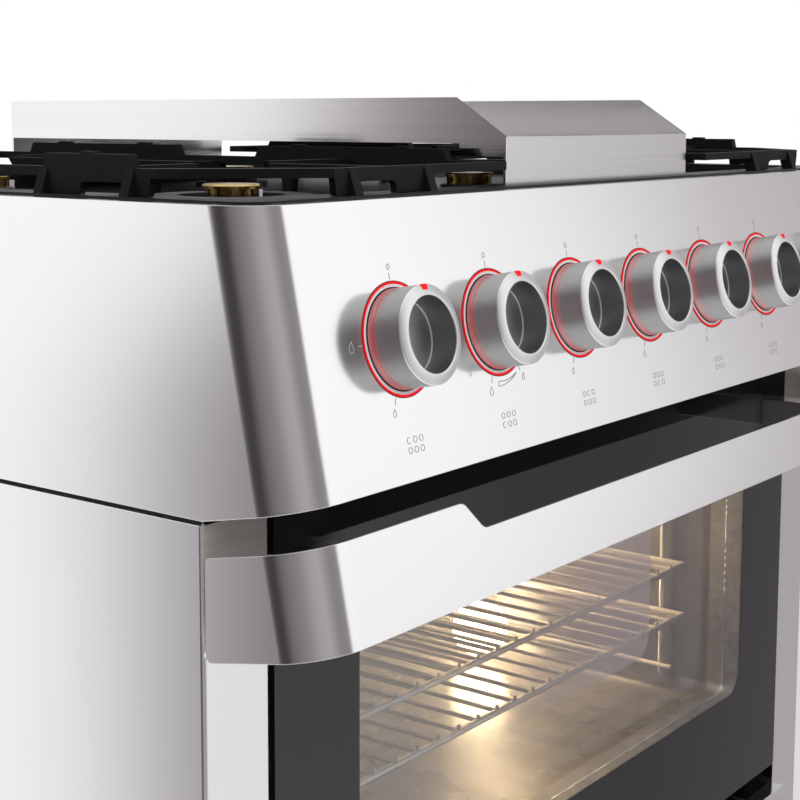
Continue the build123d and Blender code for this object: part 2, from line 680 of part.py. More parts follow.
def pan_support():
    """Right cast-iron support: cut-cornered rail on posts, tall inner walls, arms towards each burner."""
    base = PAN_TOP
    rail_top = TOP_Z + RAIL_TOP
    rail_low = rail_top - RAIL_H
    top = TOP_Z + SUPPORT_H + ENAMEL
    y0 = Y_TOP + SUPPORT_INSET
    y1 = Y_REAR - SUPPORT_INSET
    half = SUPPORT_HALF
    bar = SUPPORT_BAR

    def cut_corner(grow):
        cut = CORNER_CUT + grow * (2 - math.sqrt(2))
        x = half - grow
        return [
            (-x, y0 + grow),
            (x - cut, y0 + grow),
            (x, y0 + grow + cut),
            (x, y1 - grow - cut),
            (x - cut, y1 - grow),
            (-x, y1 - grow),
        ]

    support = prism_z(cut_corner(0), rail_low, rail_top) - prism_z(cut_corner(bar), rail_low, rail_top)
    wide = POST_W / 2 + POST_FLARE
    narrow = POST_W / 2
    lap = rail_low + POST_FLARE / 2

    def rib(edge, out):
        return [
            (edge, rail_top),
            (edge + out * RIB_OUT, base),
            (edge - out * SKIRT_T, base),
            (edge - out * bar, rail_low),
            (edge - out * bar, rail_top),
        ]

    def skirt(near, corner):
        arch = near - corner * narrow
        far = arch - corner * ARCH_W
        return [
            (near - corner * 2 * POST_SPREAD, base + FIT),
            (near - corner * 2 * POST_SPREAD, lap),
            (near + corner * (narrow + SKIRT_END), lap),
            (near + corner * (narrow + SKIRT_END), rail_low),
            (near + corner * (narrow + SKIRT_END - POST_FLARE), base + FIT),
            (arch, base + FIT),
            (arch, base + ARCH_H),
            (far + corner * ARCH_R, base + ARCH_H),
            (far + corner * ARCH_R * ARC_MID, base + ARCH_H - ARCH_R * ARC_MID),
            (far, base + ARCH_H - ARCH_R),
            (far, base + FIT),
        ]

    for edge, out in ((y0, -1), (y1, 1)):
        for shift in (-POST_SPREAD, POST_SPREAD):
            support += prism_x(rib(edge, out), shift - narrow, shift + narrow)
        inner, outer = sorted((edge, edge - out * SKIRT_T))
        support += prism_y(skirt(POST_SPREAD, 1), inner, outer)
    for y in BURNER_ROWS:
        corner = -1 if y < Y_MID else 1
        for shift in (-POST_SPREAD, POST_SPREAD):
            support += prism_y(rib(half, 1), y + shift - narrow, y + shift + narrow)
        support += prism_x(skirt(y + corner * POST_SPREAD, corner), half - SKIRT_T, half)

    def nub(middle):
        return [
            (middle - NUB_W / 2, top - NUB_H),
            (middle + NUB_W / 2, top - NUB_H),
            (middle + NUB_W / 2 - NUB_H, top + NUB_H),
            (middle - NUB_W / 2 + NUB_H, top + NUB_H),
        ]

    def raised(middle, reach, lean):
        return [
            (middle - reach, rail_low),
            (middle + reach, rail_low),
            (middle + reach - lean, top),
            (middle - reach + lean, top),
        ]

    def arm(wall, tip, sign):
        return [(wall, rail_low), (wall, rail_top), (tip, rail_top), (tip - sign * ARM_NOSE, rail_low)]

    reach = ARM_REACH
    for y in BURNER_ROWS:
        window = [
            (y - POST_SPREAD, rail_low),
            (y + POST_SPREAD, rail_low),
            (y + POST_SPREAD - RAIL_H, rail_top),
            (y - POST_SPREAD + RAIL_H, rail_top),
        ]
        tall = raised(y, WALL_HALF, (top - rail_low) / 2)
        support += prism_x(tall, -half, -half + bar) - prism_x(window, -half, -half + bar)
        support += prism_x(raised(y, GUARD_HALF, GUARD_LEAN), half - bar, half)
        support += prism_x(nub(y), half - bar, half)
        for middle in (y - NUB_SPREAD, y + NUB_SPREAD):
            support += prism_x(nub(middle), -half, -half + bar)
        for middle in (y - 1.5 * POST_SPREAD, y + 1.5 * POST_SPREAD):
            leg = [
                (middle - narrow, PAN_FLOOR + FIT),
                (middle + narrow, PAN_FLOOR + FIT),
                (middle + wide, lap),
                (middle - wide, lap),
            ]
            support += prism_x(leg, -half, -half + bar)
        for sign in (-1, 1):
            support += prism_y(arm(-sign * half, -sign * reach, sign), y - bar / 2, y + bar / 2)
        wall, sign = (y0, 1) if y < Y_MID else (y1, -1)
        support += prism_x(arm(wall, y - sign * reach, sign), -bar / 2, bar / 2)
    front, rear = BURNER_ROWS
    middle = (front + rear) / 2
    low, high = rail_low - CROSS_DROP, rail_top - CROSS_DROP
    support += block(-half, half, middle - bar / 2, middle + bar / 2, low, high)
    spine = [
        (front + reach, rail_top),
        (rear - reach, rail_top),
        (rear - reach - ARM_NOSE, rail_low),
        (front + reach + ARM_NOSE, rail_low),
    ]
    support += prism_x(spine, -bar / 2, bar / 2)
    return Pos(COLUMN_X, 0, 0) * support


def griddle():
    """Folded steel griddle: legs front and rear, plate with a front gutter, slanted splash walls."""
    half = GRIDDLE_W / 2
    base = PAN_TOP
    plate = TOP_Z + GRIDDLE_LEG
    wall_top = plate + GRIDDLE_WALL
    front = Y_TOP + GRIDDLE_SETBACK
    rear = Y_REAR - GRIDDLE_SETBACK + SUPPORT_INSET / 2
    thick = GRIDDLE_PLATE
    gutter = front + GUTTER_W
    gutter_z = plate - GUTTER_DEPTH
    section = [
        (front, base),
        (front + SHEET, base),
        (front + SHEET, gutter_z - thick),
        (gutter + thick, gutter_z - thick),
        (gutter + thick, plate - thick),
        (rear - SHEET, plate - thick),
        (rear - SHEET, base),
        (rear, base),
        (rear, wall_top),
        (rear - SHEET, wall_top),
        (rear - SHEET, plate),
        (gutter, plate),
        (gutter, gutter_z),
        (front + SHEET, gutter_z),
        (front + SHEET, plate + SHEET),
        (front, plate + SHEET),
    ]
    body = prism_x(section, -half, half)
    wall = [
        (front, plate + SHEET),
        (front, gutter_z - thick),
        (gutter + thick, gutter_z - thick),
        (gutter + thick, plate - thick),
        (rear, plate - thick),
        (rear, wall_top),
        (front + GRIDDLE_SLANT, wall_top),
    ]
    for x0 in (-half, half - SHEET):
        body += prism_x(wall, x0, x0 + SHEET)
    return body


def oven_front_frame():
    """Face sheet of the oven, between the side skins, with the rounded oven mouth."""
    half = HALF - 2 * SHEET - 2 * FIT
    low = BOX_BOTTOM + DRAWER_BOX_H + SIDE_GAP
    frame = block(-half, half, Y_FRAME, Y_FRAME + SHEET, low, Z_WING + UPSTAND)
    return frame - upright_slab(CAVITY_HALF, CAVITY_FLOOR, CAVITY_TOP, Y_FRAME, Y_FRAME + SHEET, CAVITY_R)


def oven_liner():
    """Enamelled oven box with rounded corners, front flange, shaft hole and lamp hole."""
    grow = ENAMEL
    liner = upright_slab(CAVITY_HALF + grow, CAVITY_FLOOR - grow, CAVITY_TOP + grow, Y_LINER,
                         Y_OVEN_BACK + grow, CAVITY_R + grow)
    liner += upright_slab(CAVITY_HALF + FLANGE, CAVITY_FLOOR - FLANGE / 2, CAVITY_TOP + FLANGE, Y_LINER,
                          Y_LINER + grow, CAVITY_R + grow)
    liner -= upright_slab(CAVITY_HALF, CAVITY_FLOOR, CAVITY_TOP, Y_LINER, Y_OVEN_BACK, CAVITY_R)
    liner -= rod((0, Y_OVEN_BACK - grow, Z_OVEN_MID), (0, Y_OVEN_BACK + 3 * grow, Z_OVEN_MID), SHAFT_R + 1.0)
    y, z = Y_LINER + LAMP_BACK, Z_LAMP
    liner -= rod((CAVITY_HALF - grow, y, z), (CAVITY_HALF + 3 * grow, y, z), LAMP_R - LAMP_LIP + FIT)
    return liner


def oven_insulation():
    """Mineral-wool blanket round the oven box, with room for the base element and the motor."""
    skin = ENAMEL + FIT
    top = CAVITY_TOP + FLANGE + FIT
    wool = upright_slab(CAVITY_HALF + skin + WOOL, Z_WOOL, top + WOOL, Y_LINER + 2 * ENAMEL,
                        Y_OVEN_BACK + skin + WOOL, CAVITY_R)
    wool -= upright_slab(CAVITY_HALF + skin, Z_WOOL + WOOL, CAVITY_TOP + skin, Y_LINER, Y_OVEN_BACK + skin,
                         CAVITY_R / 2)
    wool -= rod((0, Y_OVEN_BACK, Z_OVEN_MID), (0, Y_OVEN_BACK + 3 * WOOL, Z_OVEN_MID), MOTOR_R + MOTOR_CLEAR)
    y, z = Y_LINER + LAMP_BACK, Z_LAMP
    wool -= rod((CAVITY_HALF, y, z), (CAVITY_HALF + 3 * WOOL, y, z), LAMP_R)
    return wool


def oven_deck():
    """Shelf that carries the oven, between the side skins."""
    half = HALF - SHEET - FIT
    return block(-half, half, Y_LINER, Y_REAR - 2 * SHEET, Z_DECK, Z_WOOL)


def fan_baffle():
    """Shallow pan over the fan, with intake holes in two rings and side slots."""
    low = CAVITY_FLOOR + CAVITY_R
    high = CAVITY_TOP - 2 * CAVITY_R
    baffle = upright_slab(BAFFLE_HALF, low, high, Y_BAFFLE, Y_OVEN_BACK, CAVITY_R)
    baffle -= upright_slab(BAFFLE_HALF - ENAMEL, low + ENAMEL, high - ENAMEL, Y_BAFFLE + ENAMEL, Y_OVEN_BACK,
                           CAVITY_R - ENAMEL)
    for ring, count in enumerate((1, 6, 12)):
        for index in range(count):
            angle = 2 * math.pi * index / count
            x = ring * INTAKE_STEP * math.cos(angle)
            z = Z_OVEN_MID + ring * INTAKE_STEP * math.sin(angle)
            baffle -= rod((x, Y_BAFFLE - ENAMEL, z), (x, Y_BAFFLE + 2 * ENAMEL, z), INTAKE_R)
    for x in (BAFFLE_SLOT_H - BAFFLE_HALF, BAFFLE_HALF - BAFFLE_SLOT_H):
        for step in (-1, 0, 1):
            slot = Box(BAFFLE_SLOT_W, 4 * ENAMEL, BAFFLE_SLOT_H)
            baffle -= Pos(x, Y_BAFFLE, Z_OVEN_MID + 1.5 * step * BAFFLE_SLOT_H) * slot
    return baffle


def fan_wheel():
    """Fan wheel: back disc, straight blades, hub and the shaft that runs in the motor."""
    back = Y_OVEN_BACK - FAN_BACK
    wheel = rod((0, back - ENAMEL, Z_OVEN_MID), (0, back, Z_OVEN_MID), FAN_R)
    wheel += rod((0, back - FAN_DEPTH, Z_OVEN_MID), (0, back, Z_OVEN_MID), 3 * SHAFT_R)
    wheel += rod((0, back, Z_OVEN_MID), (0, Y_OVEN_BACK + MOTOR_L / 2, Z_OVEN_MID), SHAFT_R)
    blade = block(FAN_R / 2, FAN_R - SHEET, -ENAMEL / 2, ENAMEL / 2, 0, FAN_DEPTH)
    stand = Plane(origin=(0, back, Z_OVEN_MID), x_dir=(1, 0, 0), z_dir=(0, -1, 0))
    for index in range(FAN_BLADES):
        wheel += stand * (Rot(0, 0, 360 / FAN_BLADES * index) * blade)
    return wheel


def fan_motor():
    """Motor on the back of the oven box, with a round flange and a bore for the shaft."""
    front = Y_OVEN_BACK + ENAMEL
    motor = rod((0, front, Z_OVEN_MID), (0, front + MOTOR_L, Z_OVEN_MID), MOTOR_R)
    motor += rod((0, front, Z_OVEN_MID), (0, front + SHEET, Z_OVEN_MID), MOTOR_R + MOTOR_FLANGE)
    motor -= rod((0, front, Z_OVEN_MID), (0, front + MOTOR_L / 2 + FIT, Z_OVEN_MID), SHAFT_R + RUN_FIT)
    return motor


def ring_element():
    """Heating ring round the fan wheel, on two legs from the oven's rear wall."""
    y = Y_OVEN_BACK - RING_BACK
    radius = FAN_R + RING_CLEAR
    ring = Pos(0, y, Z_OVEN_MID) * Rot(90, 0, 0) * Torus(radius, ELEMENT_R)
    for x in (-RING_LEGS, RING_LEGS):
        z = Z_OVEN_MID + math.sqrt(radius ** 2 - x ** 2)
        ring += rod((x, y, z), (x, Y_OVEN_BACK, z), ELEMENT_R + PIPE_WALL)
    return ring


def grill_element():
    """Looped grill element under the oven's roof, ending in the rear wall."""
    z = CAVITY_TOP - GRILL_DROP
    back = Y_OVEN_BACK - ELEMENT_INSET
    front = Y_LINER + ELEMENT_INSET
    middle = (front + back) / 2
    side = CAVITY_HALF - ELEMENT_INSET
    tail = GRILL_TAIL
    loop = GRILL_LOOP
    half = [(tail, Y_OVEN_BACK), (tail, back), (side, back), (side, front), (loop, front), (loop, middle)]
    points = half + [(-x, y) for x, y in reversed(half)]
    return tube([(x, y, z) for x, y in points], ELEMENT_R, GRILL_BEND)


def base_element():
    """Bent element under the oven's floor."""
    z = CAVITY_FLOOR - ENAMEL - FIT - ELEMENT_R
    side = CAVITY_HALF - GRILL_LOOP
    front = Y_LINER + ELEMENT_INSET
    back = Y_OVEN_BACK - ELEMENT_INSET
    points = [(-side, back, z), (-side, front, z), (side, front, z), (side, back, z)]
    return tube(points, ELEMENT_R, BASE_BEND)


def oven_lamp():
    """Lamp with its domed lens in the right wall of the oven."""
    neck = LAMP_R - LAMP_LIP
    profile = [
        (0, -WOOL),
        (neck, -WOOL),
        (neck, 0),
        (LAMP_R, 0),
        (LAMP_R, LAMP_DOME / 3),
        (LAMP_R / 2, LAMP_DOME - 1.0),
        (0, LAMP_DOME),
    ]
    face = make_face(Polyline(*[(r, 0, z) for r, z in profile], close=True))
    place = Plane(origin=(CAVITY_HALF, Y_LINER + LAMP_BACK, Z_LAMP), z_dir=(-1, 0, 0))
    return place * revolve(face, axis=Axis.Z)


def rack_guides():
    """Wire ladders on both oven walls: two uprights, wall pegs and a rail under each rack level."""
    x = CAVITY_HALF - RACK_SIDE_GAP + GUIDE_OUT
    upright_x = x + 2 * GUIDE_ROD - WELD
    y0 = Y_LINER + GUIDE_SETBACK
    y1 = Y_BAFFLE - GUIDE_SETBACK
    low = CAVITY_FLOOR + GUIDE_LEVELS[0] - GUIDE_END
    high = CAVITY_FLOOR + GUIDE_LEVELS[-1] + GUIDE_END
    ladder = None
    for y in (y0, y1):
        upright = rod((upright_x, y, low), (upright_x, y, high), GUIDE_ROD)
        for z in (low + 4 * GUIDE_ROD, high - 4 * GUIDE_ROD):
            upright += rod((upright_x, y, z), (CAVITY_HALF, y, z), GUIDE_ROD)
        ladder = upright if ladder is None else ladder + upright
    for level in GUIDE_LEVELS:
        z = CAVITY_FLOOR + level - RACK_ROD - GUIDE_ROD - FIT
        ladder += rod((x, y0 - GUIDE_END, z), (x, y1 + GUIDE_END, z), GUIDE_ROD)
    return Compound([ladder, mirrored(ladder)])


def oven_rack(level):
    """Wire rack: round frame, raised front rail and wires from front to back."""
    z = CAVITY_FLOOR + level
    side = CAVITY_HALF - RACK_SIDE_GAP
    front = Y_LINER + RACK_FRONT
    back = Y_BAFFLE - RACK_REAR
    rack = rod((-side, front, z), (-side, back, z), RACK_ROD)
    rack += rod((side, front, z), (side, back, z), RACK_ROD)
    rack += rod((-side, back, z), (side, back, z), RACK_ROD)
    rack += rod((-side, front, z), (side, front, z), RACK_ROD)
    pitch = 2 * side / (RACK_WIRES + 1)
    for index in range(RACK_WIRES):
        x = -side + pitch * (index + 1)
        rack += rod((x, front, z + RACK_STEP), (x, back, z + RACK_STEP), RACK_WIRE)
    return rack


def door_gasket():
    """Oven mouth seal on the front frame."""
    seal = upright_slab(CAVITY_HALF + FLANGE, CAVITY_FLOOR - FLANGE, CAVITY_TOP + FLANGE / 2,
                        Y_FRAME - GASKET, Y_FRAME, CAVITY_R + FLANGE / 2)
    return seal - upright_slab(CAVITY_HALF + FLANGE / 2, CAVITY_FLOOR - FLANGE / 2, CAVITY_TOP + 1.0,
                               Y_FRAME - GASKET, Y_FRAME, CAVITY_R)


def door_outer_glass():
    """Front pane of the door."""
    return upright_slab(DOOR_HALF, DOOR_BOTTOM, DOOR_TOP, Y_GLASS, Y_GLASS + GLASS_T, 4.0)


def door_frame():
    """Door body: folded channel round the window, with solid corners that take the hinge pins."""
    half = DOOR_HALF - DOOR_RIM
    low = DOOR_BOTTOM + DOOR_RIM
    high = DOOR_TOP - DOOR_RIM
    y0 = Y_GLASS + GLASS_T
    y1 = Y_DOOR_BACK - GLASS_T
    opening = HALF - WINDOW_INSET + FRAME_LAP
    open_low = DOOR_BOTTOM + WINDOW_RISE - FRAME_LAP
    open_high = DOOR_TOP - WINDOW_DROP + FRAME_LAP
    frame = upright_slab(half, low, high, y0, y1, 4.0)
    frame -= upright_slab(opening, open_low, open_high, y0, y1, 10.0)
    wall = 1.5 * SHEET
    for x0, x1 in ((opening + wall, half - wall), (wall - half, -opening - wall)):
        frame -= block(x0, x1, y0, y1 - SHEET, Z_HINGE + 2 * HINGE_FLANGE, high - wall)
    inner = half - 2 * HINGE_DEPTH
    frame -= block(-inner, inner, y0, y1 - SHEET, low + wall, open_low - wall)
    for side in (-1, 1):
        outer = (side * (half + 1.0), Y_HINGE, Z_HINGE)
        frame -= rod(outer, (side * (half - HINGE_DEPTH), Y_HINGE, Z_HINGE), HINGE_R + RUN_FIT)
    return frame


def door_middle_glass():
    """Middle pane inside the door frame's opening."""
    y = (Y_GLASS + GLASS_T + Y_DOOR_BACK - GLASS_T) / 2
    return upright_slab(HALF - WINDOW_INSET + FRAME_LAP - FIT, DOOR_BOTTOM + WINDOW_RISE - FRAME_LAP + FIT,
                        DOOR_TOP - WINDOW_DROP + FRAME_LAP - FIT, y, y + GLASS_T, 9.0)


def door_inner_glass():
    """Inner pane on the back of the door frame."""
    return upright_slab(CAVITY_HALF + 3 * FLANGE, Z_HINGE + HINGE_RISE + 2 * FLANGE, DOOR_TOP - 2 * DOOR_RIM,
                        Y_DOOR_BACK - GLASS_T, Y_DOOR_BACK, 6.0)


def band_outline():
    """Side view of the handle band, square to the slope, as (y, z) points."""
    lead = CORNER_R
    stop = Y_COLUMN - BAND_END_GAP
    points = []
    for distance in (BAND_TOP, BAND_BOTTOM):
        y, z = slope_cut(distance, lead)
        points.append((y, z))
        points.append((stop, z - (stop - y) * TAN))
    return [points[0], points[1], points[3], points[2]]


def door_band():
    """Handle band: one strip bent round both corners, with a long finger notch in its top edge."""
    length = BAND_BOTTOM + 4 * CORNER_R
    strip = wrap(0, length) - wrap(BAND_T, length)
    outline = make_face(Polyline(*[(-HALF - 1, y, z) for y, z in band_outline()], close=True))
    outline = fillet(outline.vertices().group_by(Axis.Y)[-1], BAND_END_R)
    strip = strip & extrude(outline, amount=WIDTH + 2, dir=(1, 0, 0))
    inner = HALF - NOTCH_END
    top = KNOB_DROP - BAND_TOP
    floor = top - NOTCH_DEPTH
    wide = inner + NOTCH_FLARE
    far = wide + 2 * NOTCH_R
    right = [(inner, floor), (wide, top), (far, top), (far, top + NOTCH_R)]
    points = [(-x, y) for x, y in right[::-1]] + right
    notch = make_face(Polyline(*[(x, y, 0) for x, y in points], close=True))
    notch = fillet([corner for corner in notch.vertices() if abs(corner.X) < far - NOTCH_R], NOTCH_R)
    strip -= control_plane(0) * extrude(notch, amount=2 * BAND_T, both=True)
    return strip


def band_brackets():
    """Two arms that carry the band on the door."""
    middle = BAND_TOP + NOTCH_DEPTH + (BAND_H - NOTCH_DEPTH) / 2
    points = []
    for distance in (middle - BRACKET_H / 2, middle + BRACKET_H / 2):
        points.append(slope_cut(distance, -BAND_T))
    (ya, za), (yb, zb) = points
    outline = [(ya, za), (Y_GLASS, za), (Y_GLASS, zb), (yb, zb)]
    x = HALF - BRACKET_INSET
    arm = prism_x(outline, x - BRACKET_W / 2, x + BRACKET_W / 2)
    return Compound([arm, mirrored(arm)])


def hinge_pins():
    """Flanged pins on the column jambs, on which the door turns."""
    jamb = HALF - COLUMN_W
    deep = DOOR_HALF - DOOR_RIM - HINGE_DEPTH + 1.0
    pin = rod((deep, Y_HINGE, Z_HINGE), (jamb, Y_HINGE, Z_HINGE), HINGE_R)
    pin += rod((jamb - DOOR_GAP / 2, Y_HINGE, Z_HINGE), (jamb, Y_HINGE, Z_HINGE), HINGE_FLANGE)
    return Compound([pin, mirrored(pin)])


def drawer_front():
    """Drawer front with a hooked finger pull along its top edge."""
    y = Y_GLASS
    hook = 3 * SHEET
    outline = [
        (y, DRAWER_BOTTOM),
        (y + SHEET, DRAWER_BOTTOM),
        (y + SHEET, DRAWER_TOP),
        (y - DRAWER_LIP, DRAWER_TOP),
        (y - DRAWER_LIP, DRAWER_TOP - hook),
        (y - DRAWER_LIP + SHEET, DRAWER_TOP - hook),
        (y - DRAWER_LIP + SHEET, DRAWER_TOP - SHEET),
        (y, DRAWER_TOP - SHEET),
    ]
    return prism_x(outline, -DOOR_HALF, DOOR_HALF)


def drawer_box():
    """Open-topped drawer box behind the front, with a slide bar welded along each side."""
    front = Y_GLASS + SHEET
    half = DRAWER_BOX_HALF
    back = front + DRAWER_LENGTH
    box = block(-half, half, front, back, BOX_BOTTOM, BOX_BOTTOM + DRAWER_BOX_H)
    box -= block(-half + ENAMEL, half - ENAMEL, front + ENAMEL, back - ENAMEL, BOX_BOTTOM + ENAMEL,
                 BOX_BOTTOM + DRAWER_BOX_H)
    for x0, x1 in ((half, half + SLIDE_W), (-half - SLIDE_W, -half)):
        box += block(x0, x1, Y_FRAME + SHEET, back, SLIDE_Z, SLIDE_Z + SLIDE_H)
    return box


def drawer_runners():
    """Folded runners on the base tray: web, foot, ledge under the slide bar and lip over it."""
    web = DRAWER_BOX_HALF + SLIDE_W + FIT
    lip = web - SLIDE_W / 2
    low = SLIDE_Z - FIT
    high = SLIDE_Z + SLIDE_H + FIT
    outline = [
        (web + SLIDE_W, Z_FLOOR),
        (web + SLIDE_W, Z_FLOOR + SHEET),
        (web + SHEET, Z_FLOOR + SHEET),
        (web + SHEET, high + SHEET),
        (lip, high + SHEET),
        (lip, high),
        (web, high),
        (web, low),
        (lip, low),
        (lip, low - SHEET),
        (web, low - SHEET),
        (web, Z_FLOOR),
    ]
    runner = prism_y(outline, Y_FRAME + 3 * SHEET, Y_REAR - 4 * SHEET)
    return Compound([runner, mirrored(runner)])


def terminal_box():
    """Mains terminal box inside the back panel, with the cable gland through it."""
    _, z = inlet_place()
    x = HALF - 2 * FOOT_INSET
    back = Y_REAR - 2 * SHEET
    half = TERMINAL_HALF
    box = block(x - half, x + half, back - half, back, z - TERMINAL_H / 2, z + TERMINAL_H / 2)
    gland = rod((x, back, z), (x, Y_REAR, z), GLAND_R - FIT) - rod((x, back, z), (x, Y_REAR, z), GLAND_R / 2)
    return box + gland


def pieces():
    """Every node's name with its solid."""
    right_panel = side_panel()
    right_support = pan_support()
    nodes = {
        "control_fascia": control_fascia(),
        "side_panel_left": mirrored(right_panel),
        "side_panel_right": right_panel,
        "back_panel": back_panel(),
        "base_tray": base_tray(),
        "feet": feet(),
        "hob_pan": hob_pan(),
        "burner_cups": burner_cups(),
        "burner_crowns": burner_crowns(),
        "burner_caps": burner_caps(),
        "ignition_electrodes": ignition_electrodes(),
        "light_rings": light_rings(),
        "gas_taps": gas_taps(),
        "oven_selector": oven_selector(),
        "gas_manifold": gas_manifold(),
        "gas_inlet": gas_inlet(),
        "burner_pipes": burner_pipes(),
        "pan_support_left": mirrored(right_support),
        "pan_support_right": right_support,
        "griddle": griddle(),
        "oven_front_frame": oven_front_frame(),
        "oven_liner": oven_liner(),
        "oven_insulation": oven_insulation(),
        "oven_deck": oven_deck(),
        "fan_baffle": fan_baffle(),
        "fan_wheel": fan_wheel(),
        "fan_motor": fan_motor(),
        "ring_element": ring_element(),
        "grill_element": grill_element(),
        "base_element": base_element(),
        "oven_lamp": oven_lamp(),
        "rack_guides": rack_guides(),
        "oven_rack_lower": oven_rack(RACK_LEVELS[0]),
        "oven_rack_upper": oven_rack(RACK_LEVELS[1]),
        "door_gasket": door_gasket(),
        "door_outer_glass": door_outer_glass(),
        "door_middle_glass": door_middle_glass(),
        "door_inner_glass": door_inner_glass(),
        "door_frame": door_frame(),
        "door_band": door_band(),
        "band_brackets": band_brackets(),
        "hinge_pins": hinge_pins(),
        "drawer_front": drawer_front(),
        "drawer_box": drawer_box(),
        "drawer_runners": drawer_runners(),
        "terminal_box": terminal_box(),
    }
    for index, x in enumerate(KNOB_XS):
        nodes[f"knob_{index + 1}"] = knob(x)
        nodes[f"spindle_{index + 1}"] = spindle(x)
    return nodes


os.makedirs("parts", exist_ok=True)
for name, shape in pieces().items():
    export_step(shape, f"parts/{name}.step")
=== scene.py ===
import json
import math

import bpy
import numpy as np
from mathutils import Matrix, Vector


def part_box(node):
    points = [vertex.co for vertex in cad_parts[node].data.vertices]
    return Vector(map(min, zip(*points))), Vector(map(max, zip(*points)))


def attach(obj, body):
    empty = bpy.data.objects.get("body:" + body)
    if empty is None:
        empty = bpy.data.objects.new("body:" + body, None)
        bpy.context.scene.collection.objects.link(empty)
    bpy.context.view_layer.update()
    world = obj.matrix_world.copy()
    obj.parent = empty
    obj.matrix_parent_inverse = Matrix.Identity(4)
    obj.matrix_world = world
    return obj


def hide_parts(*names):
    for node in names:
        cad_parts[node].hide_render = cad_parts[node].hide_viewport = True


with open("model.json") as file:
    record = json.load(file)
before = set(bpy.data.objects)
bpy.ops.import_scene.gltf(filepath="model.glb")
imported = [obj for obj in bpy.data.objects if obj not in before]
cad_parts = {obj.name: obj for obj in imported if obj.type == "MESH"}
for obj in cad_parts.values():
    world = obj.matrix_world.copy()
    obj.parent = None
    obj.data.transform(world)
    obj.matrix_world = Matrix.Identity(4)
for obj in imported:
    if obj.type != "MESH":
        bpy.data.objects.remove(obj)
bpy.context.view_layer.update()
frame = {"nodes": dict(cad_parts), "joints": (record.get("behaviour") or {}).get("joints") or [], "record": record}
JOINTS = {joint["name"]: joint for joint in frame["joints"]}
X_AXIS = np.array([1.0, 0.0, 0.0])

# Camera, fitted to the knobs, edges and griddle of the photograph
CAMERA_PLACE = (-1.12444, -0.88191, 0.95119)
CAMERA_YAW = 51.79
CAMERA_PITCH = 6.682
CAMERA_LENS = 72.235
CAMERA_SENSOR = 36.0
CAMERA_SHIFT = (0.05, -0.12)

# Controls, numbered from the left; the second works the dual burner and the last the oven
CONTROLS = range(1, 8)
DUAL_CONTROL = 2
OVEN_CONTROL = 7

# Knobs, in metres from the fascia's face
KNOB_R = 0.0314
KNOB_H = 0.0267
KNOB_LIFT = 0.0038
KNOB_WALL = 0.0034
KNOB_EASE = 0.0004
BEAD_RISE = 0.0017
BEAD_EDGE = 0.0009
BEAD_LIP = 0.0007
BEAD_CROWN = 1.4
BEAD_SHARP = 50.0
BEAD_FOOT = KNOB_H - BEAD_RISE - BEAD_EDGE
CUP_R = 0.0241
CUP_FLOOR_Z = 0.0072
CUP_ROUND = 0.0008
HUB_R = 0.0070
HUB_BACK = 0.0080
BORE_R = 0.0041
WEB_Z = 0.0046
TURN_STEPS = 128

# Red pointer: the stretch of the bead's points that it lies on, its half widths and its thickness
POINTER_STRETCH = slice(2, 11)
POINTER_OUTER = 0.0036
POINTER_INNER = 0.0022
POINTER_H = 0.00012

# Lit ring round each knob, and the rings beside it, two of them dark as painted shadow
RING_H = 0.0004
GLOW_R = 0.0362
GLOW_W = 0.0016
GLOW_SHOULDER = 0.7 * RING_H
GROOVE_W = 0.0005
GROOVE_H = 0.4 * RING_H
BED_R = 0.0327
BED_H = 0.5 * RING_H
FOOT_SHADE_R = 0.0327
COLLAR_R = 0.0319
COLLAR_IN = 0.0315
COLLAR_H = 0.0045
COLLAR_TIP = 0.00004

# Painted red light on a knob's foot, by height over the fascia: where it comes up and where it dies away
LIGHT_RISE = (-0.001, 0.0035)
LIGHT_FADE = (0.0020, 0.0090)

# Fascia and handle band: one outline with round corners, carried down a slope
SLOPE = math.radians(11.6)
FASCIA_SLOPE = 0.176
CORNER_R = 0.036
EDGE_R = 0.0009

# Black strip in the seam between the fascia's wings and the side panels, as painted shade in the gap
SEAM_GAP = 0.003
SEAM_IN = 0.0016
SEAM_DEEP = 0.0022
SEAM_OVER = 0.0001
SEAM_UNDER = 0.0003
SEAM_END = 0.003

# Dual burner: its radius, and the radii between which its outer ring is dark
DUAL_R = 0.0560
DUAL_DARK_IN = 0.030
DUAL_DARK_OUT = DUAL_R + 0.004
DUAL_DARK_EDGE = 0.001

# Griddle: its sheet, how deep an outer face's finish reaches, and how far below its top the edges carry a painted
# dark reflection
GRIDDLE_SHEET = 0.002
GRIDDLE_SHEET_EDGE = 0.0005
GRIDDLE_FACE = (0.0004, 0.0008)
GRIDDLE_DARK_REFLECTION = (0.040, 0.035)
GRIDDLE_FRONT_SHADE = 0.16

# How deep a front face's finish reaches into glass and side panels, and the rise of the painted shade on the
# column
FRONT_FACE = (0.0010, 0.0020)
COLUMN_SHADE_FADE = 0.03

# Window in the door's print, from the glass's sides, foot and top
WINDOW_SIDE = 0.087
WINDOW_RISE = 0.103
WINDOW_DROP = 0.072
WINDOW_R = 0.022
WINDOW_EDGE = 0.0006

# Painted reflection on the window, a milky veil: its strength, right end, foot, corner, and where it comes up from
# the left
PAINTED_VEIL = 0.62
VEIL_END = 0.111
VEIL_LOW = 0.479
VEIL_R = 0.020
VEIL_EDGE = 0.0008
VEIL_RISE = (-0.17, 0.06)

# Matt print behind the ends of the handle band
MATT_FROM = (0.31, 0.36)
MATT_FADE = 0.01

# Rack wires
RACK_WIRES = 21
PEG_R = 0.0017
PEG_H = 0.0038
PEG_STEPS = 12

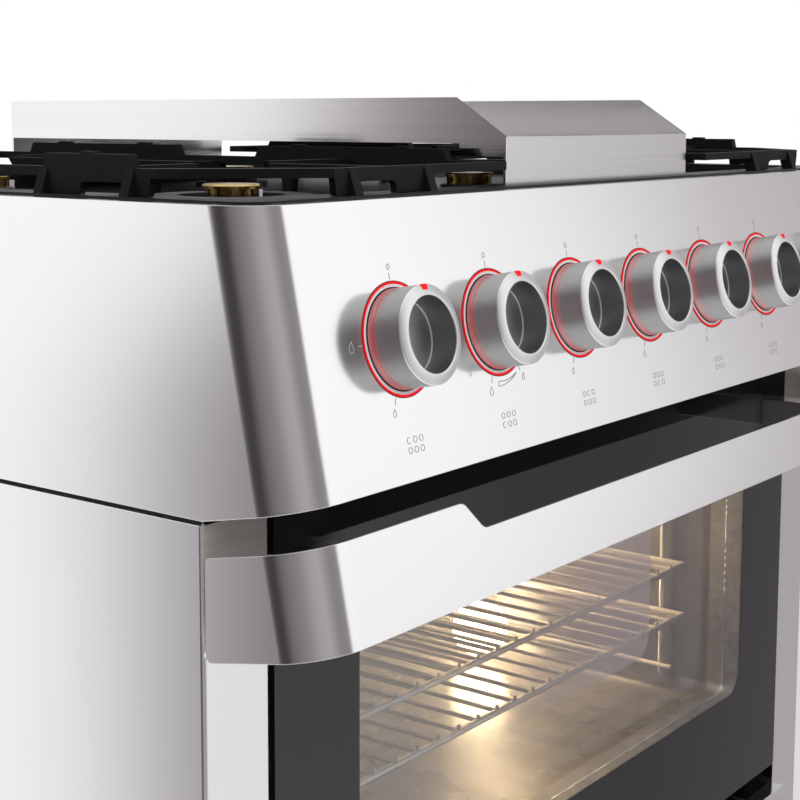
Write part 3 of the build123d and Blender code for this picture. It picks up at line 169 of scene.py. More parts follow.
# Dial marks on the fascia
MARK_R = 0.0455
MARK_STROKE = 0.00060
MARK_H = 0.00012
TICK_IN = 0.0374
TICK_OUT = 0.0418
ZERO_W = 0.0015
ZERO_H = 0.0017
FLAME_W = 0.0026
FLAME_H = 0.0030
FLAME_TAPER = 1.4
FLAME_LEAN = 0.35
FLAME_OUT = 0.002
FLAME_STROKE = 0.8 * MARK_STROKE
DOTS_DROP = 0.0658
DOT_PITCH = 0.0063
DOT_R = 0.0019
DOT_OPEN = (60, 300)
RAMP_R = MARK_R - 0.0055
RAMP_H = 0.0034
RAMP_TIP = 0.05
RAMP_SPAN = (172.0, 205.0)
RAMP_STEPS = 12

# Flame marks, as degrees of turn and size, of a plain burner and of the dual one, and the oven's ticks
FLAME_MARKS = ((90.0, 1.15), (160.0, 0.8))
DUAL_MARKS = ((129.0, 0.8), (161.0, 1.0), (212.0, 0.8))
OVEN_TICKS = range(-60, -301, -30)

# Floor
FLOOR_HALF = 6.0

# Lamps: kind, place, power in watts, colour, size, and the point that an area lamp is aimed at
LAMPS = {
    "key": ("AREA", (-1.6, -1.8, 2.6), 35.0, (1.0, 1.0, 1.0), 1.6, (0, 0, 0.7)),
    "oven_glow": ("POINT", (0.275, 0.04, 0.57), 7.0, (1.0, 0.70, 0.38), 0.02, None),
    "oven_pool": ("POINT", (0.282, 0.066, 0.40), 1.7, (1.0, 0.74, 0.42), 0.03, None),
}

# Shades on the room's walls: bearings in degrees, as in the table below, and rises as sines of the height
SHADE_AHEAD = 0.19
AHEAD_FROM = (108.0, 118.8)
AHEAD_RISE = (-0.30, 0.15)
SHADE_BELOW = 0.42
BELOW_FROM = (135.36, 144.0)
BELOW_TO = (158.4, 162.0)
BELOW_RISE = (-0.34, -0.06)
LOW_SHIFT = 0.02
LOW_SHIFT_RISE = (-0.2, 0.0)
SKY_RISE = (0.60, 0.95)
GROUND_RISE = (-0.62, -0.42)

# What the polished steel sees round the room: degrees from the rear, clockwise from above, and brightness
STUDIO_WALLS = (
    (-180, 0.24),
    (-176, 0.25),
    (-158, 0.39),
    (-140, 0.35),
    (-124, 0.25),
    (-110, 0.205),
    (-95, 0.15),
    (-80, 0.05),
    (-66, 0.05),
    (-59, 0.10),
    (-54.5, 0.25),
    (-52.4, 0.39),
    (-51.0, 0.58),
    (-49.5, 0.78),
    (-48.0, 0.92),
    (-44, 1.0),
    (-37, 1.0),
    (-33, 0.72),
    (-26, 0.48),
    (-5, 0.36),
    (26, 0.55),
    (40, 1.0),
    (70, 0.90),
    (95, 0.42),
    (111, 0.42),
    (115, 0.50),
    (117, 0.66),
    (120, 0.84),
    (126, 1.0),
    (159, 1.0),
    (163, 0.24),
)


class Field:
    """A value that varies over a surface: a shader socket that can be added, scaled and compared."""

    def __init__(self, tree, socket):
        self.tree = tree
        self.socket = socket

    def math(self, operation, other=0.0, swap=False):
        terms = (other, self) if swap else (self, other)
        return self.tree.node("ShaderNodeMath", {"operation": operation}, terms)

    def __add__(self, other):
        return self.math("ADD", other)

    __radd__ = __add__

    def __sub__(self, other):
        return self.math("SUBTRACT", other)

    def __rsub__(self, other):
        return self.math("SUBTRACT", other, True)

    def __mul__(self, other):
        return self.math("MULTIPLY", other)

    __rmul__ = __mul__

    def above(self, low, high):
        """0 under low, 1 over high and a smooth step between them."""
        settings = {"interpolation_type": "SMOOTHSTEP"}
        return self.tree.node("ShaderNodeMapRange", settings, {0: self, 1: low, 2: high})


class Tree:
    """One node tree, of a material or of the world."""

    def __init__(self, owner):
        owner.use_nodes = True
        self.nodes = owner.node_tree.nodes
        self.links = owner.node_tree.links
        self.nodes.clear()

    def node(self, kind, settings=None, inputs=(), output=0):
        """Adds one node: its settings first, then its sockets' values or links. Gives one output."""
        made = self.nodes.new(kind)
        for name, value in (settings or {}).items():
            if name == "stops":
                stops = made.color_ramp.elements
                stops.remove(stops[1])
                stops[0].position, stops[0].color = value[0]
                for position, colour in value[1:]:
                    stops.new(position).color = colour
            else:
                setattr(made, name, value)
        pairs = inputs.items() if isinstance(inputs, dict) else enumerate(inputs)
        for key, value in pairs:
            if isinstance(value, Field):
                self.links.new(value.socket, made.inputs[key])
            else:
                made.inputs[key].default_value = value
        return Field(self, made.outputs[output]) if made.outputs else None

    def place(self, scale=(1, 1, 1)):
        """Object coordinates, scaled."""
        spot = self.node("ShaderNodeTexCoord", output="Object")
        return self.node("ShaderNodeMapping", None, {"Vector": spot, "Scale": scale})

    def axes(self, spot):
        """The three numbers of a vector."""
        return [self.node("ShaderNodeSeparateXYZ", None, {"Vector": spot}, k) for k in range(3)]

    def noise(self, spot, scale, detail=3.0, roughness=0.5):
        inputs = {"Vector": spot, "Scale": scale, "Detail": detail, "Roughness": roughness}
        return self.node("ShaderNodeTexNoise", None, inputs)

    def colours(self, factor, low, high):
        """From one colour to another."""
        return self.node("ShaderNodeMix", {"data_type": "RGBA"}, {0: factor, 6: low, 7: high}, 2)

    def vectors(self, factor, low, high):
        """From one vector to another."""
        return self.node("ShaderNodeMix", {"data_type": "VECTOR"}, {0: factor, 4: low, 5: high}, 1)

    def shaders(self, factor, low, high):
        """From one shader to another."""
        return self.node("ShaderNodeMixShader", None, (factor, low, high))

    def bump(self, height, strength, distance):
        inputs = {"Strength": strength, "Distance": distance, "Height": height}
        return self.node("ShaderNodeBump", None, inputs)

    def eased(self):
        """The surface's normal, rounded over at its edges."""
        return self.node("ShaderNodeBevel", {"samples": 6}, {"Radius": EDGE_R})

    def dot(self, one, other):
        return self.node("ShaderNodeVectorMath", {"operation": "DOT_PRODUCT"}, (one, other), "Value")


def rgba(red, green, blue):
    return (red, green, blue, 1.0)


def grey(value):
    return (value, value, value, 1.0)


def lilac_grey(value):
    """Grey of the studio's walls, with a faint lilac cast in its darker tones."""
    return (value, value * (0.90 + 0.10 * value), value * (0.97 + 0.03 * value), 1.0)


def finish(name, build):
    """A material whose build function gives the Principled shader's sockets, or a shader of its own."""
    material = bpy.data.materials.new(name)
    tree = Tree(material)
    made = build(tree)
    if isinstance(made, dict):
        made = tree.node("ShaderNodeBsdfPrincipled", None, made)
    tree.node("ShaderNodeOutputMaterial", None, {"Surface": made})
    return material


def polished_steel(tree):
    """Near-mirror stainless: slight clouding and hair-fine lines along X."""
    cloud = tree.noise(tree.place(), 9.0, 4.0, 0.6)
    hair = tree.noise(tree.place((3, 900, 900)), 1.0, 2.0)
    return {
        "Base Color": tree.colours(cloud, rgba(0.95, 0.945, 0.95), rgba(0.98, 0.98, 0.985)),
        "Metallic": 1.0,
        "Roughness": 0.115 + 0.05 * cloud + 0.03 * hair,
        "Normal": tree.eased(),
    }


def wrapped_steel(tree):
    """Polished steel of the wrap-round sheets, with the exact normal of their shape.

    The plan outline is carried down the slope, so a point's plan place is (x, y + (top - z) tan slope).
    Beyond the corner's centre the plan normal is (x, y) less that centre, and it leans by -y tan slope in
    height. Faces that look the other way, into the sheets' backs, are dull and dark, as painted shade.
    """
    low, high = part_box("control_fascia")
    made = polished_steel(tree)
    x, y, z = tree.axes(tree.place())
    lean = math.tan(SLOPE)
    corner_x = float(high[0]) - CORNER_R
    corner_y = float(low[1]) + FASCIA_SLOPE * math.sin(SLOPE) + CORNER_R
    across = x.math("SIGN") * (x.math("ABSOLUTE") - corner_x).math("MAXIMUM", 0.0)
    ahead = (y + (float(high[2]) - z) * lean - corner_y).math("MINIMUM", 0.0)
    plan = tree.node("ShaderNodeCombineXYZ", None, (across, ahead, ahead * -lean))
    to_world = {"vector_type": "NORMAL", "convert_from": "OBJECT", "convert_to": "WORLD"}
    turned_plan = tree.node("ShaderNodeVectorTransform", to_world, {"Vector": plan})
    smooth = tree.node("ShaderNodeVectorMath", {"operation": "NORMALIZE"}, (turned_plan,))
    edge = made["Normal"]
    alike = tree.dot(edge, smooth)
    made["Normal"] = tree.vectors(alike.above(0.93, 0.99), edge, smooth)
    # Painted shade: faces turned to the sheets' backs get a dull dark brown.
    inside = (0.0 - alike).above(0.3, 0.6)
    made["Base Color"] = tree.colours(inside, made["Base Color"], rgba(0.17, 0.150, 0.145))
    made["Roughness"] = made["Roughness"] + 0.4 * inside
    return made


def panel_steel(tree):
    """Polished steel of a side panel; its front column above the band's foot is brushed, with painted shade in a
    brownish, duller colour.
    """
    made = polished_steel(tree)
    front = float(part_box("side_panel_left")[0][1])
    band = float(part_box("door_band")[0][2])
    _, y, z = tree.axes(tree.place())
    column = (1.0 - (y - front).above(*FRONT_FACE)) * z.above(band, band + COLUMN_SHADE_FADE)
    lines = tree.noise(tree.place((8, 500, 500)), 1.0, 3.0, 0.6)
    # Painted shade: the column above the band's foot is darkened to a duller, less metallic brown.
    warm = tree.colours(lines, rgba(0.36, 0.325, 0.30), rgba(0.62, 0.57, 0.54))
    made["Base Color"] = tree.colours(column, made["Base Color"], warm)
    made["Metallic"] = 1.0 - 0.55 * column
    made["Roughness"] = made["Roughness"] + 0.30 * column
    return made


def brushed(along, tint, rough, depth):
    """Brushed steel with lines along one axis: noise drawn out along it, in colour, gloss and height."""
    stretch = [900.0, 900.0, 900.0]
    stretch[along] = 6.0
    coarse = [160.0, 160.0, 160.0]
    coarse[along] = 1.5

    def build(tree):
        fine = tree.noise(tree.place(tuple(stretch)), 1.0, 3.0, 0.6)
        wide = tree.noise(tree.place(tuple(coarse)), 1.0, 2.0)
        lines = 0.65 * fine + 0.35 * wide
        low = rgba(*[0.82 * part for part in tint])
        return {
            "Base Color": tree.colours(lines, low, rgba(*tint)),
            "Metallic": 1.0,
            "Roughness": rough - 0.06 + 0.12 * lines,
            "Normal": tree.bump(fine, depth, 0.0002),
        }

    return build


def griddle_steel(tree):
    """Brushed griddle: smoother outer side walls, a front greyed by painted shade, and a painted dark reflection
    on the tops along the side walls.
    """
    made = brushed(0, (0.95, 0.935, 0.95), 0.22, 0.15)(tree)
    walls = brushed(1, (0.98, 0.97, 0.98), 0.10, 0.06)(tree)
    low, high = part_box("griddle")
    x, y, z = tree.axes(tree.place())
    inset = (x - float(low[0])).math("MINIMUM", float(high[0]) - x)
    side = 1.0 - inset.above(*GRIDDLE_FACE)
    front = 1.0 - (y - float(low[1])).above(*GRIDDLE_FACE)
    wall = 1.0 - inset.above(GRIDDLE_SHEET, GRIDDLE_SHEET + GRIDDLE_SHEET_EDGE)
    up = tree.dot(tree.node("ShaderNodeTexCoord", output="Normal"), (0.0, 0.0, 1.0))
    near_top = z.above(*[float(high[2]) - depth for depth in GRIDDLE_DARK_REFLECTION])
    # Painted dark reflection on the side walls' tops, and painted shade on the front face.
    edge = wall * up.above(0.3, 0.6) * near_top
    made["Base Color"] = tree.colours(GRIDDLE_FRONT_SHADE * front, made["Base Color"], grey(0.0))
    made["Base Color"] = tree.colours(side, made["Base Color"], walls["Base Color"])
    made["Base Color"] = tree.colours(edge, made["Base Color"], grey(0.02))
    made["Roughness"] = made["Roughness"] * (1.0 - side) + walls["Roughness"] * side
    made["Normal"] = tree.vectors(side, made["Normal"], walls["Normal"])
    return made


def galvanised(tree):
    """Zinc-coated sheet: large spangles of slightly different grey."""
    cells = tree.node("ShaderNodeTexVoronoi", None, {"Vector": tree.place(), "Scale": 120.0}, "Color")
    shade = tree.node("ShaderNodeSeparateColor", None, {"Color": cells})
    return {
        "Base Color": tree.colours(shade, grey(0.42), rgba(0.56, 0.57, 0.59)),
        "Metallic": 1.0,
        "Roughness": 0.36 + 0.14 * shade,
    }


def black_enamel(rough, gloss):
    """Vitreous enamel of a given roughness and gloss, with a faint orange peel and tiny pale specks."""

    def build(tree):
        spot = tree.place()
        specks = tree.noise(spot, 900.0, 1.0).above(0.70, 0.76)
        return {
            "Base Color": tree.colours(specks, rgba(0.010, 0.010, 0.011), grey(0.07)),
            "Roughness": rough + 0.10 * tree.noise(spot, 40.0),
            "Specular IOR Level": gloss,
            "Normal": tree.bump(tree.noise(spot, 260.0, 1.0), 0.12, 0.0004),
        }

    return build


def oven_enamel(tree):
    """Dark grey enamel of the oven box, with pale specks and faint stains."""
    spot = tree.place()
    specks = tree.noise(spot, 700.0, 1.0).above(0.62, 0.72)
    stain = tree.noise(spot, 14.0, 4.0, 0.65)
    base = tree.colours(stain, rgba(0.092, 0.086, 0.081), rgba(0.114, 0.107, 0.101))
    return {
        "Base Color": tree.colours(specks, base, grey(0.24)),
        "Roughness": 0.25 + 0.05 * stain,
        "Normal": tree.bump(tree.noise(spot, 220.0, 1.0), 0.10, 0.0004),
    }


def cast_iron(tree):
    """Matt enamelled iron: fine sand grain, paler where it is rubbed."""
    spot = tree.place()
    grain = tree.noise(spot, 1400.0, 3.0, 0.7)
    patch = tree.noise(spot, 60.0, 4.0, 0.6)
    rubbed = 0.6 * grain + 0.4 * patch
    return {
        "Base Color": tree.colours(rubbed, rgba(0.003, 0.003, 0.0033), rgba(0.012, 0.0115, 0.012)),
        "Roughness": 0.52 + 0.22 * patch,
        "Specular IOR Level": 0.22,
        "Normal": tree.bump(grain, 0.55, 0.0005),
    }


def burner_alloy(tree):
    """Dark cast aluminium of the burner cups."""
    grain = tree.noise(tree.place(), 700.0, 3.0)
    return {
        "Base Color": tree.colours(grain, grey(0.10), grey(0.20)),
        "Metallic": 0.9,
        "Roughness": 0.48 + 0.15 * grain,
        "Normal": tree.bump(grain, 0.3, 0.0003),
    }


def brass(tree):
    """Turned brass with heat-darkened patches."""
    spot = tree.place()
    patch = tree.noise(spot, 45.0, 4.0, 0.6)
    fine = tree.noise(spot, 1500.0, 2.0)
    return {
        "Base Color": tree.colours(patch.above(0.35, 0.75), rgba(0.86, 0.62, 0.24), rgba(0.55, 0.36, 0.12)),
        "Metallic": 1.0,
        "Roughness": 0.13 + 0.10 * patch + 0.05 * fine,
    }


def crown_brass(tree):
    """Brass of the crowns and caps; the dual burner's outer ring is dark, from one radius to another."""
    made = brass(tree)
    low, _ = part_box("burner_crowns")
    x, y, _ = tree.axes(tree.place())
    across = x - (float(low[0]) + DUAL_R)
    along = y - (float(low[1]) + DUAL_R)
    distance = (across * across + along * along).math("SQRT")
    past_inner = distance.above(DUAL_DARK_IN, DUAL_DARK_IN + DUAL_DARK_EDGE)
    past_outer = distance.above(DUAL_DARK_OUT, DUAL_DARK_OUT + DUAL_DARK_EDGE)
    dark = past_inner * (1.0 - past_outer)
    made["Base Color"] = tree.colours(dark, made["Base Color"], grey(0.02))
    made["Metallic"] = 1.0 - 0.8 * dark
    made["Roughness"] = made["Roughness"] + 0.3 * dark
    return made


def plain_metal(colour, rough):
    """Machined metal with a light cloudiness."""

    def build(tree):
        cloud = tree.noise(tree.place(), 180.0, 3.0)
        low = rgba(*[0.8 * part for part in colour])
        return {
            "Base Color": tree.colours(cloud, low, rgba(*colour)),
            "Metallic": 1.0,
            "Roughness": rough + 0.10 * cloud,
        }

    return build


def rack_chrome(tree):
    """Bright chromed wire, slightly dulled by heat in patches."""
    dull = tree.noise(tree.place(), 90.0, 3.0)
    return {
        "Base Color": tree.colours(dull, rgba(0.97, 0.95, 0.96), rgba(0.88, 0.86, 0.86)),
        "Metallic": 0.55,
        "Roughness": 0.14 + 0.12 * dull,
    }


def soft_solid(colour, rough, grain, depth):
    """Matt plastic, rubber, ceramic or wool: one colour with a fine grain of a given scale and depth."""

    def build(tree):
        fleck = tree.noise(tree.place(), grain, 4.0, 0.6)
        low = rgba(*[0.75 * part for part in colour])
        return {
            "Base Color": tree.colours(fleck, low, rgba(*colour)),
            "Roughness": rough - 0.05 + 0.10 * fleck,
            "Normal": tree.bump(fleck, depth, 0.0006),
        }

    return build


def glow_red(tree):
    """Lit red plastic, a little uneven in its light."""
    fleck = tree.noise(tree.place(), 300.0, 2.0)
    return {
        "Base Color": rgba(0.20, 0.004, 0.005),
        "Roughness": 0.5,
        "Specular IOR Level": 0.1,
        "Emission Color": tree.colours(fleck, rgba(0.66, 0.004, 0.006), rgba(0.80, 0.010, 0.012)),
        "Emission Strength": 1.0,
    }


def pointer_red(tree):
    """Red lacquer in the knob's pointer."""
    fleck = tree.noise(tree.place(), 900.0, 2.0)
    return {
        "Base Color": tree.colours(fleck, rgba(0.72, 0.006, 0.008), rgba(0.85, 0.012, 0.014)),
        "Roughness": 0.5,
        "Specular IOR Level": 0.15,
        "Emission Color": rgba(0.9, 0.01, 0.012),
        "Emission Strength": 0.3,
    }


def mark_grey(tree):
    """Etched and filled dial marks."""
    fleck = tree.noise(tree.place(), 1800.0, 2.0)
    return {"Base Color": tree.colours(fleck, grey(0.40), grey(0.50)), "Roughness": 0.6}


def turned_steel(low, high, rough, depth):
    """Lathe-turned satin steel: rings that follow the piece's own v coordinate."""

    def build(tree):
        around = tree.node("ShaderNodeUVMap")
        drawn = tree.node("ShaderNodeMapping", None, {"Vector": around, "Scale": (5, 420, 1)})
        rings = tree.noise(drawn, 1.0, 3.0)
        cloud = tree.noise(tree.place(), 120.0, 3.0)
        return {
            "Base Color": tree.colours(0.7 * rings + 0.3 * cloud, grey(low), grey(high)),
            "Metallic": 1.0,
            "Roughness": rough - 0.05 + 0.10 * rings,
            "Normal": tree.bump(rings, depth, 0.0002),
        }

    return build


def barrel_painted_glow(tree):
    """Satin steel of the knob's barrel, with painted red light at its foot: an emission that stands for the lit
    ring shining on it.
    """
    made = turned_steel(0.40, 0.48, 0.36, 0.20)(tree)
    _, y, z = tree.axes(tree.place())
    centre, _, out = control_frame(1)
    height = y * out[1] + z * out[2] - float(centre @ out)
    # Painted light: red emission on the foot stands for the lit ring's light on it.
    painted_glow_share = height.above(*LIGHT_RISE) * (1.0 - height.above(*LIGHT_FADE))
    made["Emission Color"] = tree.colours(painted_glow_share, grey(0.0), rgba(0.20, 0.002, 0.003))
    made["Emission Strength"] = 1.0
    return made


def rounded_window(tree, half, low, high, radius):
    """1 inside a rounded window in X and Z, 0 outside: the distance to a rounded rectangle, stepped."""
    x, _, z = tree.axes(tree.place())
    middle = (low + high) / 2
    across = (x.math("ABSOLUTE") - (half - radius)).math("MAXIMUM", 0.0)
    along = ((z - middle).math("ABSOLUTE") - ((high - low) / 2 - radius)).math("MAXIMUM", 0.0)
    distance = (across * across + along * along).math("SQRT")
    return 1.0 - distance.above(radius - WINDOW_EDGE, radius + WINDOW_EDGE)


def pane(colour):
    """Clear glass pane."""

    def build(tree):
        smear = tree.noise(tree.place(), 6.0, 3.0)
        return {
            "Base Color": rgba(*colour),
            "Roughness": 0.02 * smear,
            "IOR": 1.45,
            "Transmission Weight": 1.0,
        }

    return build


def printed_glass(tree):
    """Front pane of the door: black print round a rounded clear window, with a painted reflection on it, a milky
    lilac veil.

    The veil is a painted reflection, a glow that stands for what the inner pane throws back of the room. It ends
    at a rounded corner and fades to the left. Behind the ends of the handle band the print is matt.
    """
    low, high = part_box("door_outer_glass")
    half = high[0] - WINDOW_SIDE
    window = rounded_window(tree, half, low[2] + WINDOW_RISE, high[2] - WINDOW_DROP, WINDOW_R)
    print_grain = tree.noise(tree.place(), 500.0, 2.0)
    ink = tree.colours(print_grain, rgba(0.006, 0.006, 0.007), rgba(0.010, 0.010, 0.011))
    black = tree.node("ShaderNodeBsdfPrincipled", None, {
        "Base Color": ink,
        "Roughness": 0.03,
        "IOR": 1.5,
    })
    clear = tree.node("ShaderNodeBsdfPrincipled", None, {
        "Base Color": rgba(0.86, 0.855, 0.86),
        "Roughness": 0.0,
        "IOR": 1.45,
        "Transmission Weight": 1.0,
    })
    dull = tree.node("ShaderNodeBsdfPrincipled", None, {
        "Base Color": ink,
        "Roughness": 0.5,
        "Specular IOR Level": 0.1,
    })
    # Painted reflection: a lilac emission on the window's front face stands for the room seen in the inner pane.
    painted_reflection = tree.node("ShaderNodeBsdfPrincipled", None, {
        "Base Color": grey(0.0),
        "Specular IOR Level": 0.0,
        "Emission Color": tree.colours(print_grain, rgba(0.262, 0.226, 0.236), rgba(0.282, 0.244, 0.254)),
        "Emission Strength": 1.0,
    })
    x, y, z = tree.axes(tree.place())
    across = (x - (VEIL_END - VEIL_R)).math("MAXIMUM", 0.0)
    down = (VEIL_LOW + VEIL_R - z).math("MAXIMUM", 0.0)
    distance = (across * across + down * down).math("SQRT")
    past_corner = distance.above(VEIL_R - VEIL_EDGE, VEIL_R + VEIL_EDGE)
    face = 1.0 - (y - float(low[1])).above(*FRONT_FACE)
    reflection_share = PAINTED_VEIL * face * (1.0 - past_corner) * x.above(*VEIL_RISE)
    band = float(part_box("door_band")[0][2])
    behind = x.math("ABSOLUTE").above(*MATT_FROM) * z.above(band, band + MATT_FADE)
    return tree.shaders(window, tree.shaders(behind, black, dull), tree.shaders(reflection_share, clear, painted_reflection))


def lamp_glass(tree):
    """Frosted lamp lens, lit warm."""
    ribs = tree.noise(tree.place(), 260.0, 2.0)
    return {
        "Base Color": rgba(0.9, 0.8, 0.6),
        "Roughness": 0.4,
        "Emission Color": tree.colours(ribs, rgba(1.0, 0.62, 0.24), rgba(1.0, 0.78, 0.42)),
        "Emission Strength": 3.0,
    }


FINISHES = {
    "polished_steel": polished_steel,
    "wrapped_steel": wrapped_steel,
    "brushed_steel": polished_steel,
    "panel_steel": panel_steel,
    "griddle_steel": griddle_steel,
    "galvanised": galvanised,
    "foot_steel": plain_metal((0.5, 0.5, 0.51), 0.3),
    "black_enamel": black_enamel(0.22, 0.5),
    "hob_enamel": black_enamel(0.40, 0.25),
    "oven_enamel": oven_enamel,
    "iron": cast_iron,
    "burner_alloy": burner_alloy,
    "brass": brass,
    "crown_brass": crown_brass,
    "copper_pipe": plain_metal((0.62, 0.61, 0.6), 0.32),
    "spark_ceramic": soft_solid((0.86, 0.85, 0.82), 0.25, 600.0, 0.1),
    "light_ring": glow_red,
    "knob_steel": barrel_painted_glow,
    "spindle_steel": plain_metal((0.5, 0.5, 0.5), 0.25),
    "selector_plastic": soft_solid((0.04, 0.04, 0.042), 0.5, 900.0, 0.2),
    "wool": soft_solid((0.72, 0.69, 0.58), 0.95, 240.0, 1.0),
    "element_steel": plain_metal((0.16, 0.155, 0.15), 0.45),
    "lamp_glass": lamp_glass,
    "rack_chrome": rack_chrome,
    "seal_rubber": soft_solid((0.012, 0.012, 0.013), 0.7, 900.0, 0.3),
    "door_glass": printed_glass,
    "clear_glass": pane((0.97, 0.98, 0.975)),
    "bead_steel": turned_steel(0.90, 0.95, 0.36, 0.05),
    "cup_steel": turned_steel(0.42, 0.50, 0.40, 0.08),
    "mark_grey": mark_grey,
    "pointer_red": pointer_red,
    "ring_bed": soft_solid((0.95, 0.94, 0.95), 0.30, 900.0, 0.05),
}
NODE_FINISH = {
    "control_fascia": "wrapped_steel",
    "door_band": "wrapped_steel",
    "side_panel_left": "panel_steel",
    "side_panel_right": "panel_steel",
    "griddle": "griddle_steel",
    "hob_pan": "hob_enamel",
    "burner_crowns": "crown_brass",
    "burner_caps": "crown_brass",
    "oven_liner": "oven_enamel",
    "fan_baffle": "oven_enamel",
}
made_finishes = {}


def finish_named(name):
    """The material of a finish, made the first time that it is asked for."""
    if name not in made_finishes:
        made_finishes[name] = finish(name, FINISHES[name])
    return made_finishes[name]


def dress_nodes():
    """Gives every CAD node the finish of its slot, or of its own."""
    for part in frame["record"]["subparts"]:
        material = finish_named(NODE_FINISH.get(part["node"], part["material_slot"]))
        for slot in frame["nodes"][part["node"]].material_slots:
            slot.material = material


def grid(points, wrap_u=False, wrap_v=False):
    """Vertices, faces and UVs of a grid of points: quads between neighbours, closed round where told."""
    rows, columns = points.shape[:2]
    number = np.arange(rows * columns).reshape(rows, columns)
    if wrap_u:
        number = np.vstack([number, number[:1]])
    if wrap_v:
        number = np.hstack([number, number[:, :1]])
    faces = np.stack([number[:-1, :-1], number[1:, :-1], number[1:, 1:], number[:-1, 1:]], -1)
    u = np.linspace(0, 1, number.shape[0])[:, None].repeat(number.shape[1], 1)
    v = np.linspace(0, 1, number.shape[1])[None, :].repeat(number.shape[0], 0)
    uv = np.stack([u, v], -1)
    corners = np.stack([uv[:-1, :-1], uv[1:, :-1], uv[1:, 1:], uv[:-1, 1:]], 2)
    return points.reshape(-1, 3), faces.reshape(-1, 4), corners.reshape(-1, 2)


def joined(surfaces):
    """Several grids as one."""
    shift = 0
    vertices, faces, uvs = [], [], []
    for points, quads, corners in surfaces:
        vertices.append(points)
        faces.append(quads + shift)
        uvs.append(corners)
        shift += len(points)
    return np.vstack(vertices), np.vstack(faces), np.vstack(uvs)


def piece(name, surface, body, finish_name, sharp=35.0):
    """A mesh object from a grid, smooth except at sharp edges, riding on a body."""
    vertices, faces, uvs = surface
    mesh = bpy.data.meshes.new(name)
    mesh.from_pydata(vertices.tolist(), [], faces.tolist())
    layer = mesh.uv_layers.new(name="UVMap")
    layer.data.foreach_set("uv", uvs.astype(np.float32).ravel())
    mesh.polygons.foreach_set("use_smooth", np.ones(len(faces), bool))
    mesh.set_sharp_from_angle(angle=math.radians(sharp))
    mesh.materials.append(finish_named(finish_name))
    made = bpy.data.objects.new(name, mesh)
    bpy.context.scene.collection.objects.link(made)
    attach(made, body)
    return made


def control_frame(number):
    """Centre, up-slope direction and outward direction of one control, from its turning joint."""
    joint = JOINTS.get(f"knob_{number}_turn") or JOINTS["oven_knob_turn"]
    out = np.array(joint["axis"], float)
    out *= -np.sign(out[1]) / np.linalg.norm(out)
    return np.array(joint["pos_m"], float), np.cross(out, X_AXIS), out


def on_control(number, x, up, height):
    """Points given across, up and out of the fascia, from one control's centre."""
    centre, slope, out = control_frame(number)
    return centre + x[..., None] * X_AXIS + up[..., None] * slope + height[..., None] * out


def turned(number, profile):
    """A profile of (radius, height) turned about a control's axis: x = r sin a, up = r cos a."""
    radius, height = np.array(profile, float).T
    angle = np.linspace(0, 2 * np.pi, TURN_STEPS, endpoint=False)[:, None]
    x = radius * np.sin(angle)
    up = radius * np.cos(angle)
    return grid(on_control(number, x, up, height + 0 * angle), wrap_u=True)


def arc(centre, radii, start, end, count):
    """Points of an elliptic arc, angles in degrees."""
    angle = np.radians(np.linspace(start, end, count))
    return list(zip(centre[0] + radii[0] * np.cos(angle), centre[1] + radii[1] * np.sin(angle)))


def bead_profile():
    """Front ring: a tight outer edge, a face that drops as share ^ BEAD_CROWN, a tight lip at the cup."""
    edge = arc((KNOB_R - BEAD_EDGE, BEAD_FOOT), (BEAD_EDGE, BEAD_EDGE), 0, 60, 6)
    outer, inner = edge[-1][0], CUP_R + BEAD_LIP
    share = np.linspace(1, 0, 10)[1:]
    drop = (KNOB_H - edge[-1][1]) * share ** BEAD_CROWN
    crown = zip(inner + (outer - inner) * share, KNOB_H - drop)
    lip = arc((inner, KNOB_H - BEAD_LIP), (BEAD_LIP, BEAD_LIP), 90, 180, 6)[1:]
    return edge + list(crown) + lip


def knobs():
    """Seven turned knobs: barrel with hub, front bead, cup with a bright line at its floor as a painted highlight,
    red pointer.
    """
    barrel = [
        (BORE_R, -HUB_BACK),
        (HUB_R, -HUB_BACK),
        (HUB_R, WEB_Z),
        (KNOB_R - KNOB_WALL, WEB_Z),
        (KNOB_R - KNOB_WALL, KNOB_LIFT),
        (KNOB_R - KNOB_EASE, KNOB_LIFT),
        *[(KNOB_R, z) for z in np.linspace(KNOB_LIFT + KNOB_EASE, BEAD_FOOT, 6)],
    ]
    wall = [(CUP_R, z) for z in np.linspace(KNOB_H - BEAD_LIP, CUP_FLOOR_Z + CUP_ROUND, 8)]
    plate = [(r, CUP_FLOOR_Z) for r in np.linspace(CUP_R - CUP_ROUND, 0.0, 8)]
    line = arc((CUP_R - CUP_ROUND, CUP_FLOOR_Z + CUP_ROUND), (CUP_ROUND, CUP_ROUND), 0, -90, 7)
    for number in CONTROLS:
        body = "oven_control" if number == OVEN_CONTROL else f"knob_{number}"
        made = piece(f"knob_{number}_barrel", turned(number, barrel), body, "knob_steel")
        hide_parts(f"knob_{number}")
        bead = turned(number, bead_profile())
        piece(f"knob_{number}_bead", bead, body, "bead_steel", BEAD_SHARP)
        cup = joined([turned(number, wall), turned(number, plate)])
        piece(f"knob_{number}_cup", cup, body, "cup_steel")
        # Painted highlight: the round at the cup's floor is given the bead's bright steel.
        piece(f"knob_{number}_cup_highlight", turned(number, line), body, "bead_steel")
        piece(f"knob_{number}_pointer", pointer(number), body, "pointer_red")


